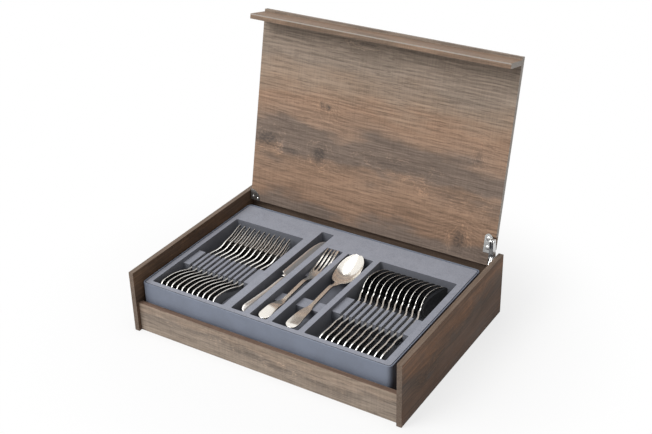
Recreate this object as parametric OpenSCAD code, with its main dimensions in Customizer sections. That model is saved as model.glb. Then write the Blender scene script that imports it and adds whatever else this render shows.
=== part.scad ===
// Silverware chest: a wooden case, a lid that opens, two flocked trays and their cutlery.
// Frame: millimetres, +Z up, front towards -Y, origin on the ground under the case's middle.

/* [Case] */
// Width over the two side panels
case_w = 460; // [455:1:500]
// Depth of the side panels, front to back
case_d = 320; // [316:1:360]
// Height of the side panels
side_h = 103; // [103:1:125]
// Thickness of the case boards
panel_t = 8; // [7:0.5:9]
// How far the front board stands back from the side panels' front edges
front_recess = 6; // [4:0.5:8]
// Height of the front board
front_board_h = 48; // [40:1:52]
// Diameter of the joint dowels
dowel_d = 5; // [4:0.5:5]
// How far a dowel enters a side panel or the lid
dowel_blind = 5.5; // [4:0.5:6]
// How far a dowel enters a board's edge
dowel_deep = 18; // [12:1:22]

/* [Lid] */
// Thickness of the lid board
lid_t = 8; // [7.5:0.5:9]
// Gap between the lid and each side panel
lid_side_gap = 2; // [1.9:0.1:3]
// How far the closed lid's front edge stands back from the side panels' front edges
lid_setback = 2; // [0:0.5:3]
// Length of lid behind the hinge axis
lid_tail = 12; // [10:0.5:13]
// Angle from closed to the open stop
open_angle = 102.3; // [95:0.1:105]
// Clearance between the turning back edge of the lid and the back board
swing_gap = 1.35; // [1:0.05:3]
// Thickness of the strip along the lid's free edge
strip_t = 8; // [7:0.5:9]
// Height of the finger gap between the closed lid's strip and the front board
finger_gap = 7; // [5:0.5:15]

/* [Pivots and stay] */
// Diameter of the hinge pins
pin_d = 4; // [3.5:0.1:4]
// Radial running clearance on the hinge pins
pin_clear = 0.05; // [0.03:0.01:0.1]
// How far the left pin enters the lid's end
pin_in_lid = 12; // [10:1:14]
// How far a pin enters a side panel
pin_in_side = 5; // [4:0.5:6]
// Radius of the quarter-round corner plate of the left pivot
corner_plate_r = 18; // [17:0.5:20]
// Thickness of the steel plates of the pivots and the stay
plate_t = 1.2; // [1:0.1:1.4]
// Thickness of one leaf of the stay
leaf_t = 1; // [0.8:0.1:1.1]
// Side gap between neighbouring leaves
leaf_gap = 0.3; // [0.3:0.05:0.35]
// Half the width of a leaf
leaf_r = 5; // [4.5:0.1:5]
// Distance along the lid from the hinge axis to the leaves' rivet
leaf_reach = 28; // [26:1:32]
// Length of the stay's lid plate beyond the hinge axis
stay_plate_l = 38; // [36:1:44]
// Width of the stay's lid plate
stay_plate_w = 12.5; // [11:0.5:14]
// Distance between the two screws of the stay's lid plate
stay_screw_pitch = 14.2; // [13:0.1:15]
// Diameter of the screw heads on the lid
screw_head_d = 7; // [6:0.5:7.5]
// Diameter of the screw shanks
screw_shank_d = 3; // [2.5:0.1:3]
// Length of screw in the wood
screw_bite = 5; // [4:0.5:6]

/* [Trays] */
// Height of the lower tray
lower_tray_h = 31; // [30:0.5:31]
// Height of the upper tray
upper_tray_h = 41; // [41:0.5:43]
// Wall and floor thickness of the trays
tray_wall = 2; // [1.6:0.1:2.2]
// Outer radius of the trays' upright corners
tray_corner_r = 7; // [6:0.5:10]
// Gap between the trays and the left side panel
tray_side_gap = 1.5; // [1:0.1:2]
// Space on the right of the trays, beside the stay
stay_space = 17.5; // [17.5:0.5:20]
// Gap between the trays and the front board
tray_front_gap = 2; // [1:0.5:3]
// Gap between the trays and the back board
tray_back_gap = 15; // [14:0.5:18]
// Groove between a tray's rim and its insert
insert_gap = 1.3; // [0.8:0.1:1.6]
// How far an insert's top lies below its tray's rim
insert_drop = 0.5; // [0.3:0.1:1]
// Thickness of the flocked sheet of the inserts
sheet_t = 1.4; // [1:0.1:1.6]
// Corner radius of the pockets
pocket_r = 2.5; // [1.5:0.5:3]

/* [Cutlery pockets] */
// Margin between the tray's front and the pockets
margin_front = 11; // [9:0.5:12]
// Margin between the tray's left side and the fork pocket
margin_left = 11.5; // [10:0.5:12]
// Margin between the spoon row's pocket and the tray's right side
margin_right = 14; // [13:0.5:14]
// Space behind the heads of the row pieces
head_room = 5; // [3:1:9]
// Width of the bar between the fork row and the knife channel
bar_fork_row = 14.5; // [12:0.5:15]
// Width of the knife channel
knife_channel_w = 22; // [21:0.5:22]
// Depth of the knife channel, front to back
knife_channel_d = 251; // [248:1:252]
// Width of the bar between the knife and fork channels
bar_knife = 10.5; // [8:0.5:11]
// Width of the single fork channel
fork_channel_w = 29; // [28.5:0.5:29.5]
// Width of the bar between the fork and spoon channels
bar_fork = 9; // [7:0.5:9]
// Width of the single spoon channel
spoon_channel_w = 45; // [44.5:0.5:45.5]
// Space behind the tips of the single fork and spoon
tip_room = 0.25; // [0.25:0.5:4.75]
// Width of the bar between the spoon channel and the spoon row
bar_spoon = 9.5; // [7:0.5:9.5]
// Distance from a row pocket's front to its slotted ridge
ridge_from = 74; // [72:0.5:75]
// Length of the slotted ridge, front to back
ridge_d = 42; // [38:0.5:43]
// Height of the ridge's top below the insert's top
ridge_drop = 7; // [6:0.5:8]
// Width of the slots in the ridges
slot_w = 5; // [4.4:0.1:5.4]

/* [Cutlery] */
// Length of the forks and spoons
piece_l = 205; // [203:0.5:206]
// Part of a row pocket's width that its pieces' spacing leaves over
row_spare = 33; // [32.5:0.5:34]
// Thickness of the forks and of the spoon handles
piece_t = 2.2; // [1.8:0.1:2.4]
// Half the width of a handle at its end
handle_r = 10; // [9.5:0.1:10.2]
// Half the width of a neck
neck_r = 3; // [2.5:0.1:3]
// Half the width of a fork's head
fork_head_r = 11.2; // [10.8:0.1:12.2]
// Gap between two tines
tine_gap = 3; // [2.6:0.1:3.2]
// Half the width of a spoon's bowl
bowl_r = 20.2; // [19.5:0.1:20.4]
// Length of a spoon's bowl
bowl_l = 68; // [66:0.5:69]
// Depth of a spoon's bowl
bowl_deep = 8.2; // [7.5:0.1:8.3]
// Thickness of a spoon's bowl
bowl_t = 1.1; // [0.9:0.05:1.1]
// Length of a knife
knife_l = 230; // [226:1:232]
// Half the height of a knife's blade
blade_r = 10; // [9:0.1:10]
// Height of the row pieces' middle below the insert's top
row_sink = 14.5; // [14.5:0.5:15.5]
// Gap that a piece keeps from the sheet that carries it
seat_gap = 0.3; // [0.3:0.05:0.5]

/* [Hidden] */
$fn = 48;

// heights and places that follow from the sizes above
inner_w = case_w - 2 * panel_t;
bottom_t = panel_t;
front_y = -case_d / 2 + front_recess;
back_y = case_d / 2 - panel_t;
lid_under = side_h - lid_t;
axis_z = side_h - lid_t / 2;
axis_y = case_d / 2 - lid_tail;
sweep_r = sqrt(lid_tail * lid_tail + lid_t * lid_t / 4);
back_board_h = axis_z - sweep_r - swing_gap;
lid_w = inner_w - 2 * lid_side_gap;
lid_front = axis_y + case_d / 2 - lid_setback;
strip_inset = front_recess - lid_setback;
strip_h = lid_under - front_board_h - finger_gap;
dowel_fit = 0.05;

tray_x = -inner_w / 2 + tray_side_gap;
tray_y = front_y + panel_t + tray_front_gap;
tray_w = inner_w - tray_side_gap - stay_space;
tray_d = back_y - tray_back_gap - tray_y;
lower_z = bottom_t;
upper_z = lower_z + lower_tray_h;
lower_top = upper_z - insert_drop;
upper_top = upper_z + upper_tray_h - insert_drop;

// the row pockets share the width that the other pockets, the bars and the margins leave
singles_w = knife_channel_w + fork_channel_w + spoon_channel_w;
bars_w = bar_fork_row + bar_knife + bar_fork + bar_spoon;
row_w = (tray_w - margin_left - margin_right - singles_w - bars_w) / 2;

// pockets, counted from the tray's left side
fork_row_x = margin_left;
knife_x = fork_row_x + row_w + bar_fork_row;
fork_x = knife_x + knife_channel_w + bar_knife;
spoon_x = fork_x + fork_channel_w + bar_fork;
spoon_row_x = spoon_x + spoon_channel_w + bar_spoon;

// the two rows: a piece's neck lies in a slot from neck_from to neck_to along the piece
row_count = 11;
row_pitch = (row_w - row_spare) / (row_count - 1);
fork_first = 14.4;
spoon_first = 16.5;
row_start = 8;
row_d = row_start + piece_l + head_room;
neck_from = 62;
head_l = 88;
neck_to = piece_l - head_l;
row_z = upper_top - row_sink;
ridge_z = upper_top - ridge_drop;
slot_z = row_z - neck_r - seat_gap;
handle_floor_z = row_z - handle_r - 3;
head_floor_z = row_z - bowl_r - 0.5 - seat_gap;

// the single pieces: a bridge carries the neck and a rib the belly
single_start = 8;
single_pitch = 2.7;
single_d = single_start + piece_l * cos(single_pitch) + tip_room;
fork_yaw = 1;
spoon_yaw = 1.1;
single_z = upper_top - 12;
channel_floor_z = upper_top - 26;
bridge_from = 63;
bridge_d = 22;
belly_d = 12;
fork_bridge_z = single_z + 0.1;
fork_belly_s = neck_to + 21;
fork_belly = [single_start + fork_belly_s, single_z - 9.7 + fork_belly_s * sin(single_pitch)];
spoon_bridge_z = single_z + 4;
spoon_belly_s = neck_to + 37;
spoon_belly = [single_start + spoon_belly_s, single_z - 11.7 + spoon_belly_s * sin(single_pitch)];

// the knife leans on the corner of a cradle, its edge low on the right
knife_start = 9;
knife_lean = 32;
knife_handle_t = 7;
knife_mid = knife_x + 14.8;
knife_z = upper_top - 9.5;
knife_floor_z = knife_z - blade_r * cos(knife_lean) - sin(knife_lean) - seat_gap;
knife_bridge_from = 50;
knife_bridge_d = 34;
knife_bridge_z = knife_z - 6;
cradle_edge = knife_mid + (knife_z - knife_bridge_z) * tan(knife_lean)
    - (knife_handle_t / 2 + seat_gap) / cos(knife_lean);

// the lower tray and its knives
lower_count = 11;
lower_pitch = 15;
lower_first = 11;
lower_row_x = 120;
lower_row_w = 172;
lower_knife_z = lower_top - 11.5;
lower_floor_z = lower_knife_z - blade_r - seat_gap;

// the stay: layers between the lid plate and the right side panel
stay_x = inner_w / 2;
case_plate_x = stay_x - plate_t;
leaf_x = [for (i = [0 : 3]) case_plate_x - 0.6 - leaf_t - i * (leaf_t + leaf_gap)];
cheek_x = leaf_x[3] - leaf_gap - plate_t;
rivet_d = 2.5;
lid_rivet = [-leaf_reach, -lid_t / 2 - 4];
case_rivet = [-12, -15];
case_screws = [[-3, -22], [-19, -21]];
notch_x = cheek_x - 2.2;

oak = "#6b5546";
oak_pale = "#8a7564";
oak_dark = "#54453b";
beech = "#c9a878";
tray_blue = "#7d8798";
flock_grey = "#8c929c";
steel = "#d4d6d8";
steel_dark = "#5a5d60";

// ---- helpers

// A box from its lowest corner and its size
module slab(corner, size) {
    translate(corner) cube(size);
}

// A rectangle with round corners
module round_rect(size, r) {
    translate([r, 0]) square([size[0] - 2 * r, size[1]]);
    translate([0, r]) square([size[0], size[1] - 2 * r]);
    for (x = [r, size[0] - r], y = [r, size[1] - r]) translate([x, y]) circle(r);
}

// An upright box with round upright edges
module round_box(corner, size, r) {
    translate(corner) linear_extrude(size[2]) round_rect([size[0], size[1]], r);
}

// A round bar along X through the point p = [y, z]
module bar_x(x0, x1, p, d) {
    translate([x0, p[0], p[1]]) rotate([0, 90, 0]) cylinder(d = d, h = x1 - x0);
}

// A flat link with round ends between two [y, z] points, from x0 over a thickness
module link_x(x0, thick, a, b, r) {
    run = b - a;
    translate([x0, a[0], a[1]]) rotate([atan2(run[1], run[0]), 0, 0]) rotate([90, 0, 90])
        linear_extrude(thick) {
            circle(r);
            translate([norm(run), 0]) circle(r);
            translate([0, -r]) square([norm(run), 2 * r]);
        }
}

// Moves what is drawn about the hinge axis to its place on the case
module at_axis() {
    translate([0, axis_y, axis_z]) children();
}

// Turns what is drawn closed about the hinge axis to the open stop
module on_lid() {
    at_axis() rotate([-open_angle, 0, 0]) children();
}

// Moves what is drawn from a tray's left front corner to its place
module in_tray() {
    translate([tray_x, tray_y, 0]) children();
}

// ---- case

// Dowels along X at both ends of a board, at [y, z] points
module end_dowels(points, d, reach) {
    for (side = [-1, 1], p = points)
        translate([side * inner_w / 2, p[0], p[1]]) rotate([0, side * 90, 0])
            translate([0, 0, -dowel_deep - reach])
                cylinder(d = d, h = dowel_deep + dowel_blind + 2 * reach);
}

front_dowels = [for (k = [0.3, 0.75]) [front_y + panel_t / 2, bottom_t + (front_board_h - bottom_t) * k]];
back_dowels = [for (k = [0.3, 0.75]) [back_y + panel_t / 2, bottom_t + (back_board_h - bottom_t) * k]];
floor_dowels = [for (k = [-0.35, 0, 0.35]) [k * case_d, bottom_t / 2]];

module case_holes() {
    end_dowels(concat(front_dowels, back_dowels, floor_dowels), dowel_d + 2 * dowel_fit, dowel_fit);
}

module side_panel(x) {
    difference() {
        slab([x, -case_d / 2, 0], [panel_t, case_d, side_h]);
        case_holes();
        at_axis() bar_x(-inner_w / 2 - pin_in_side, stay_x + pin_in_side, [0, 0], pin_d + 2 * dowel_fit);
        stay_case_shanks();
    }
}

module left_side() {
    color(oak_dark) side_panel(-case_w / 2);
}

module right_side() {
    color(oak_dark) side_panel(case_w / 2 - panel_t);
}

module front_board() {
    color(oak_pale) difference() {
        slab([-inner_w / 2, front_y, 0], [inner_w, panel_t, front_board_h]);
        case_holes();
    }
}

module back_board() {
    color(oak) difference() {
        slab([-inner_w / 2, back_y, 0], [inner_w, panel_t, back_board_h]);
        case_holes();
    }
}

module bottom_panel() {
    color(oak) difference() {
        slab([-inner_w / 2, front_y + panel_t, 0], [inner_w, back_y - front_y - panel_t, bottom_t]);
        case_holes();
    }
}

module case_dowels() {
    color(beech) end_dowels(concat(front_dowels, back_dowels), dowel_d, 0);
}

module bottom_dowels() {
    color(beech) end_dowels(floor_dowels, dowel_d, 0);
}

// ---- lid, drawn closed about the hinge axis

// Dowels that hold the strip, upright in the closed lid
module strip_bars(d, reach) {
    for (k = [-1.5 : 1 : 1.5])
        translate([k * lid_w / 4, -lid_front + strip_inset + strip_t / 2, -lid_t / 2 - dowel_deep - reach])
            cylinder(d = d, h = dowel_deep + dowel_blind - 0.5 + 2 * reach);
}

module lid_panel() {
    color(oak) on_lid() difference() {
        slab([-lid_w / 2, -lid_front, -lid_t / 2], [lid_w, lid_front + lid_tail, lid_t]);
        strip_bars(dowel_d + 2 * dowel_fit, dowel_fit);
        bar_x(-lid_w / 2 - 1, -lid_w / 2 + pin_in_lid, [0, 0], pin_d + 2 * pin_clear);
        // the stay's notch goes through at the axis and is half as deep beyond it
        slab([notch_x, -leaf_r - 8, -lid_t], [lid_w, leaf_r + lid_tail + 10, 2 * lid_t]);
        slab([notch_x, -leaf_reach - leaf_r - 1, -lid_t], [lid_w, leaf_reach + leaf_r, lid_t + 2]);
        stay_lid_shanks(2 * dowel_fit);
        corner_shanks(2 * dowel_fit);
    }
}

module lid_front_strip() {
    color(oak_pale) on_lid() difference() {
        slab([-lid_w / 2, -lid_front + strip_inset, -lid_t / 2 - strip_h], [lid_w, strip_t, strip_h]);
        strip_bars(dowel_d + 2 * dowel_fit, dowel_fit);
    }
}

module strip_dowels() {
    color(beech) on_lid() strip_bars(dowel_d, 0);
}

// ---- left pivot

corner_screws = [[13.6, 4], [5, 6]];
corner_shank_d = 1.8;
corner_bite = 3;

module at_corner_screws() {
    for (p = corner_screws) translate([-lid_w / 2 + p[0], lid_tail - p[1], -lid_t / 2]) children();
}

module corner_shanks(fit) {
    at_corner_screws() cylinder(d = corner_shank_d + fit, h = corner_bite + fit);
}

module left_corner_plate() {
    color(steel_dark) on_lid() difference() {
        translate([-lid_w / 2, lid_tail, -lid_t / 2 - plate_t]) intersection() {
            cylinder(r = corner_plate_r, h = plate_t);
            slab([0, -corner_plate_r, 0], [corner_plate_r, corner_plate_r, plate_t]);
        }
        at_corner_screws() translate([0, 0, -2 * plate_t])
            cylinder(d = corner_shank_d + 4 * dowel_fit, h = 3 * plate_t);
    }
}

module left_corner_screws() {
    color(steel) on_lid() at_corner_screws() {
        translate([0, 0, -plate_t]) cylinder(d = corner_shank_d, h = plate_t + corner_bite);
        translate([0, 0, -plate_t - 0.7]) cylinder(d1 = 2.4, d2 = 3.4, h = 0.7);
    }
}

module left_pivot_pin() {
    color(steel) at_axis()
        bar_x(-inner_w / 2 - pin_in_side + 0.2, -lid_w / 2 + pin_in_lid - 1, [0, 0], pin_d);
}

// ---- right stay

stay_plate_x = cheek_x + plate_t - stay_plate_w / 2;
stay_plate_y = -stay_plate_l + stay_plate_w / 2;

module at_stay_screws() {
    for (k = [0, 1])
        translate([stay_plate_x, stay_plate_y + 1.4 + k * stay_screw_pitch, -lid_t / 2]) children();
}

module stay_lid_shanks(fit) {
    at_stay_screws() cylinder(d = screw_shank_d + fit, h = screw_bite + fit);
}

// Bores of a plate or leaf at x for the pivot pin and a rivet
module stay_bores(x, rivet) {
    bar_x(x - 1, x + 2 * plate_t, [0, 0], pin_d + 2 * pin_clear);
    bar_x(x - 1, x + 2 * plate_t, rivet, rivet_d + 2 * pin_clear);
}

// Plate on the lid with a round end, and a cheek that stands off its right edge
module stay_lid_plate() {
    color(steel) on_lid() difference() {
        union() {
            translate([stay_plate_x, stay_plate_y, -lid_t / 2 - plate_t])
                cylinder(d = stay_plate_w, h = plate_t);
            slab([stay_plate_x - stay_plate_w / 2, stay_plate_y, -lid_t / 2 - plate_t],
                [stay_plate_w, -8 - stay_plate_y, plate_t]);
            link_x(cheek_x, plate_t, [0, 0], lid_rivet, leaf_r);
        }
        at_stay_screws() translate([0, 0, -lid_t]) cylinder(d = screw_shank_d + 4 * dowel_fit, h = 2 * lid_t);
        stay_bores(cheek_x, lid_rivet);
    }
}

module stay_leaf(x, rivet) {
    difference() {
        link_x(x, leaf_t, [0, 0], rivet, leaf_r);
        stay_bores(x, rivet);
    }
}

module stay_lid_leaves() {
    color(steel) on_lid() for (i = [0, 2]) stay_leaf(leaf_x[i], lid_rivet);
}

module stay_lid_rivet() {
    color(steel_dark) on_lid() {
        bar_x(cheek_x - 0.6, leaf_x[0] + leaf_t + 0.3, lid_rivet, rivet_d);
        bar_x(cheek_x - 1.4, cheek_x - 0.1, lid_rivet, 2 * rivet_d);
    }
}

module stay_lid_screws() {
    color(steel) on_lid() at_stay_screws() {
        translate([0, 0, -plate_t]) cylinder(d = screw_shank_d, h = plate_t + screw_bite);
        translate([0, 0, -plate_t - 2]) cylinder(d1 = 0.65 * screw_head_d, d2 = screw_head_d, h = 2);
    }
}

module stay_case_shanks() {
    at_axis() for (p = case_screws) bar_x(stay_x - 1, stay_x + screw_bite, p, screw_shank_d + 2 * dowel_fit);
}

// Plate on the right side panel, below the hinge axis
module stay_case_plate() {
    color(steel_dark) at_axis() difference() {
        translate([case_plate_x, 0, 0]) rotate([90, 0, 90]) linear_extrude(plate_t) {
            translate([-25, -28]) round_rect([27, 15], 4);
            translate([-7.5, -20]) round_rect([11, 20 + lid_t / 2], leaf_r);
        }
        for (p = case_screws) bar_x(case_plate_x - 1, stay_x + 1, p, screw_shank_d + 4 * dowel_fit);
        stay_bores(case_plate_x, case_rivet);
    }
}

module stay_case_leaves() {
    color(steel) at_axis() for (i = [1, 3]) stay_leaf(leaf_x[i], case_rivet);
}

module stay_case_rivet() {
    color(steel_dark) at_axis() {
        bar_x(leaf_x[3] - 0.3, stay_x - 0.1, case_rivet, rivet_d);
        bar_x(leaf_x[3] - 1.1, leaf_x[3] - 0.1, case_rivet, 2 * rivet_d);
    }
}

module stay_case_screws() {
    color(steel) at_axis() for (p = case_screws) {
        bar_x(case_plate_x - 0.2, stay_x + screw_bite - 0.2, p, screw_shank_d);
        bar_x(case_plate_x - 1.3, case_plate_x, p, 0.8 * screw_head_d);
    }
}

module stay_pivot_pin() {
    color(steel) at_axis() {
        bar_x(cheek_x - 0.5, stay_x + pin_in_side - 0.2, [0, 0], pin_d);
        bar_x(cheek_x - 1.7, cheek_x - 0.3, [0, 0], 1.6 * pin_d);
    }
}

// ---- trays

// An open tray with round corners
module open_tray(z, h) {
    difference() {
        round_box([0, 0, z], [tray_w, tray_d, h], tray_corner_r);
        round_box([tray_wall, tray_wall, z + tray_wall],
            [tray_w - 2 * tray_wall, tray_d - 2 * tray_wall, h], tray_corner_r - tray_wall);
    }
}

// The top sheet and the skirt of an insert, which stands on its tray's floor
module insert_cover(floor_z, top) {
    edge = tray_wall + insert_gap;
    inside = edge + sheet_t;
    difference() {
        round_box([edge, edge, floor_z], [tray_w - 2 * edge, tray_d - 2 * edge, top - floor_z],
            tray_corner_r - edge);
        round_box([inside, inside, floor_z - 1],
            [tray_w - 2 * inside, tray_d - 2 * inside, top - sheet_t - floor_z + 1], tray_corner_r - inside);
    }
}

// A pocket is a list of steps from front to back, each with its start, length and floor height
row_steps = [[0, ridge_from, handle_floor_z], [ridge_from, ridge_d, ridge_z],
    [ridge_from + ridge_d, row_d - ridge_from - ridge_d, head_floor_z]];
knife_steps = [[0, knife_bridge_from, knife_floor_z],
    [knife_bridge_from, knife_bridge_d, knife_bridge_z],
    [knife_bridge_from + knife_bridge_d, knife_channel_d - knife_bridge_from - knife_bridge_d,
        knife_floor_z]];

function single_steps(bridge_z, belly) = [[0, bridge_from, channel_floor_z],
    [bridge_from, bridge_d, bridge_z],
    [bridge_from + bridge_d, belly[0] - bridge_from - bridge_d, channel_floor_z],
    [belly[0], belly_d, belly[1]], [belly[0] + belly_d, single_d - belly[0] - belly_d, channel_floor_z]];
fork_steps = single_steps(fork_bridge_z, fork_belly);
spoon_steps = single_steps(spoon_bridge_z, spoon_belly);

// The sheet round a pocket's steps
module pocket_skin(x, w, steps, top) {
    for (s = steps)
        round_box([x - sheet_t, margin_front + s[0] - sheet_t, s[2] - sheet_t],
            [w + 2 * sheet_t, s[1] + 2 * sheet_t, top - s[2] + sheet_t], pocket_r + sheet_t);
}

// The space of a pocket down to each step's floor, round only at the pocket's own corners
module pocket_space(x, w, steps, top) {
    low = min([for (s = steps) s[2]]);
    last = steps[len(steps) - 1];
    intersection() {
        round_box([x, margin_front, low], [w, last[0] + last[1], top - low + 1], pocket_r);
        for (s = steps) slab([x, margin_front + s[0], s[2]], [w, s[1], top - s[2] + 1]);
    }
}

// The slots of a row's ridge, their middles counted from the pocket's left edge
module slots(x, first) {
    for (i = [0 : row_count - 1])
        slab([x + first + i * row_pitch - slot_w / 2, margin_front + ridge_from - 1, slot_z],
            [slot_w, ridge_d + 2, upper_top - slot_z]);
}

module row_skin(x) {
    pocket_skin(x, row_w, row_steps, upper_top);
    slab([x, margin_front + ridge_from, slot_z - sheet_t], [row_w, ridge_d, ridge_z - slot_z]);
}

module upper_tray() {
    color(tray_blue) in_tray() open_tray(upper_z, upper_tray_h);
}

module upper_insert() {
    color(flock_grey) in_tray() difference() {
        union() {
            insert_cover(upper_z + tray_wall, upper_top);
            row_skin(fork_row_x);
            row_skin(spoon_row_x);
            pocket_skin(knife_x, knife_channel_w, knife_steps, upper_top);
            slab([knife_x, margin_front + knife_bridge_from, knife_floor_z - sheet_t],
                [knife_channel_w, knife_bridge_d, knife_bridge_z - knife_floor_z + sheet_t]);
            pocket_skin(fork_x, fork_channel_w, fork_steps, upper_top);
            pocket_skin(spoon_x, spoon_channel_w, spoon_steps, upper_top);
        }
        pocket_space(fork_row_x, row_w, row_steps, upper_top);
        pocket_space(spoon_row_x, row_w, row_steps, upper_top);
        slots(fork_row_x, fork_first);
        slots(spoon_row_x, spoon_first);
        pocket_space(knife_x, knife_channel_w, knife_steps, upper_top);
        slab([cradle_edge, margin_front + knife_bridge_from - 1, knife_floor_z],
            [knife_x + knife_channel_w - cradle_edge, knife_bridge_d + 2, 20]);
        pocket_space(fork_x, fork_channel_w, fork_steps, upper_top);
        pocket_space(spoon_x, spoon_channel_w, spoon_steps, upper_top);
    }
}

module lower_tray() {
    color(tray_blue) in_tray() open_tray(lower_z, lower_tray_h);
}

lower_steps = [[0, knife_channel_d, lower_floor_z]];

module lower_insert() {
    color(flock_grey) in_tray() difference() {
        union() {
            insert_cover(lower_z + tray_wall, lower_top);
            pocket_skin(lower_row_x, lower_row_w, lower_steps, lower_top);
        }
        pocket_space(lower_row_x, lower_row_w, lower_steps, lower_top);
    }
}

// ---- cutlery: a piece lies along +Y from its handle end, flat in XY, its hollow side up

// Rises smoothly from 0 at a to 1 at b
function ramp(s, a, b) = s <= a ? 0 : s >= b ? 1 : (1 - cos(180 * (s - a) / (b - a))) / 2;

// How far a handle stands above its neck, a head dips below it and a tip rises again
fork_handle_rise = 7.5;
spoon_handle_rise = 3.4;
fork_dip = 7;
spoon_dip = 6;
tip_rise = 11.5;
handle_bend = 28;

function fork_line(s) = fork_handle_rise * (1 - ramp(s, handle_bend, neck_from)) - 1.5 * (1 - ramp(s, 0, 14))
    - fork_dip * ramp(s, neck_to - 4, neck_to + 23) + tip_rise * ramp(s, neck_to + 33, piece_l + 11);
function bowl_rim(s) = -spoon_dip * ramp(s, neck_to - 4, neck_to + 19)
    + tip_rise * ramp(s, neck_to + 31, piece_l + 9);
function spoon_line(s) = spoon_handle_rise * (1 - ramp(s, handle_bend, neck_from))
    - 1.2 * (1 - ramp(s, 0, 14)) + bowl_rim(s) - 0.9 * ramp(s, neck_to + 3, neck_to + 21);

// Places along a piece from a to b at a fixed spacing
function marks(a, spacing, b) = [for (s = [a : spacing : b]) s];

// A polygon that is the same on both sides of the Y axis, from its right half
module mirrored(half) {
    polygon(concat(half, [for (i = [len(half) - 1 : -1 : 0]) [-half[i][0], half[i][1]]]));
}

// A band of the piece's thickness along a line of heights, over the piece's full width
module bent_sheet(line, half_w) {
    top = [for (p = line) [p[0], p[1] + piece_t / 2]];
    under = [for (i = [len(line) - 1 : -1 : 0]) [line[i][0], line[i][1] - piece_t / 2]];
    translate([-half_w, 0, 0]) rotate([90, 0, 90]) linear_extrude(2 * half_w) polygon(concat(top, under));
}

// The handle's outline: a round end, a taper to the shoulder and the neck
module handle_outline(end) {
    translate([0, handle_r]) circle(handle_r);
    mirrored([[handle_r, handle_r], [handle_r * 0.93, 22], [handle_r * 0.7, 48], [handle_r * 0.6, 52],
        [neck_r + 0.5, 58], [neck_r, neck_from], [neck_r, neck_to], end]);
}

tine_w = (2 * fork_head_r - 3 * tine_gap) / 4;
tine_root = neck_to + 40;

module fork_outline() {
    shoulder = [1.4 * neck_r, neck_to + 13];
    handle_outline(shoulder);
    mirrored([shoulder, [0.66 * fork_head_r, neck_to + 23], [fork_head_r - 0.7, neck_to + 33],
        [fork_head_r, tine_root + 1]]);
    for (i = [-1.5 : 1 : 1.5]) translate([i * (tine_w + tine_gap), 0])
        mirrored([[tine_w / 2, tine_root], [tine_w / 2, piece_l - 18], [0.8, piece_l]]);
}

module fork_shape() {
    line = [for (s = concat(marks(0, 8, 64), marks(neck_to - 4, 7.5, piece_l - 2), [piece_l]))
        [s, fork_line(s)]];
    intersection() {
        bent_sheet(line, 1.5 * handle_r);
        translate([0, 0, -1.5 * handle_r]) linear_extrude(3 * handle_r) fork_outline();
    }
}

// Bowl sections run by angle from the heel to the tip
bowl_rows = 10;
bowl_cols = 6;
bowl_from = piece_l - bowl_l;
bowl_angles = [for (i = [0 : bowl_rows]) 12 + i * 156 / bowl_rows];

function bowl_s(a) = bowl_from + bowl_l * pow((1 - cos(a)) / 2, 1.12);
function bowl_point(a, k, t) = [bowl_r * sin(a) * k, bowl_s(a),
    bowl_rim(bowl_s(a)) - bowl_deep * pow(sin(a), 1.6) * (1 - k * k) - t];
function bowl_grid(t) = [for (a = bowl_angles, j = [0 : bowl_cols]) bowl_point(a, 2 * j / bowl_cols - 1, t)];

// A thin dished shell from its inner and outer grids of points
module bowl() {
    n = bowl_cols + 1;
    m = (bowl_rows + 1) * n;
    last = bowl_rows * n;
    cells = [for (i = [0 : bowl_rows - 1], j = [0 : bowl_cols - 1]) i * n + j];
    polyhedron(concat(bowl_grid(0), bowl_grid(bowl_t)), concat(
        [for (c = cells) [c, c + n, c + n + 1]], [for (c = cells) [c, c + n + 1, c + 1]],
        [for (c = cells) [m + c, m + c + n + 1, m + c + n]],
        [for (c = cells) [m + c, m + c + 1, m + c + n + 1]],
        [for (i = [0 : bowl_rows - 1]) [i * n, m + i * n, m + i * n + n, i * n + n]],
        [for (i = [0 : bowl_rows - 1]) let (c = i * n + bowl_cols) [c, c + n, m + c + n, m + c]],
        [for (j = [0 : bowl_cols - 1]) [j, j + 1, m + j + 1, m + j]],
        [for (j = [0 : bowl_cols - 1]) [last + j, m + last + j, m + last + j + 1, last + j + 1]]));
}

module spoon_shape() {
    line = [for (s = concat(marks(0, 8, 64), marks(neck_to - 4, 6.8, bowl_from + 4))) [s, spoon_line(s)]];
    intersection() {
        bent_sheet(line, 1.5 * handle_r);
        translate([0, 0, -1.5 * handle_r]) linear_extrude(3 * handle_r)
            handle_outline([1.4 * neck_r, bowl_from + 8]);
    }
    bowl();
}

// The knife's blade lies flat in XY, its edge towards -X
bolster_s = 112;

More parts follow.
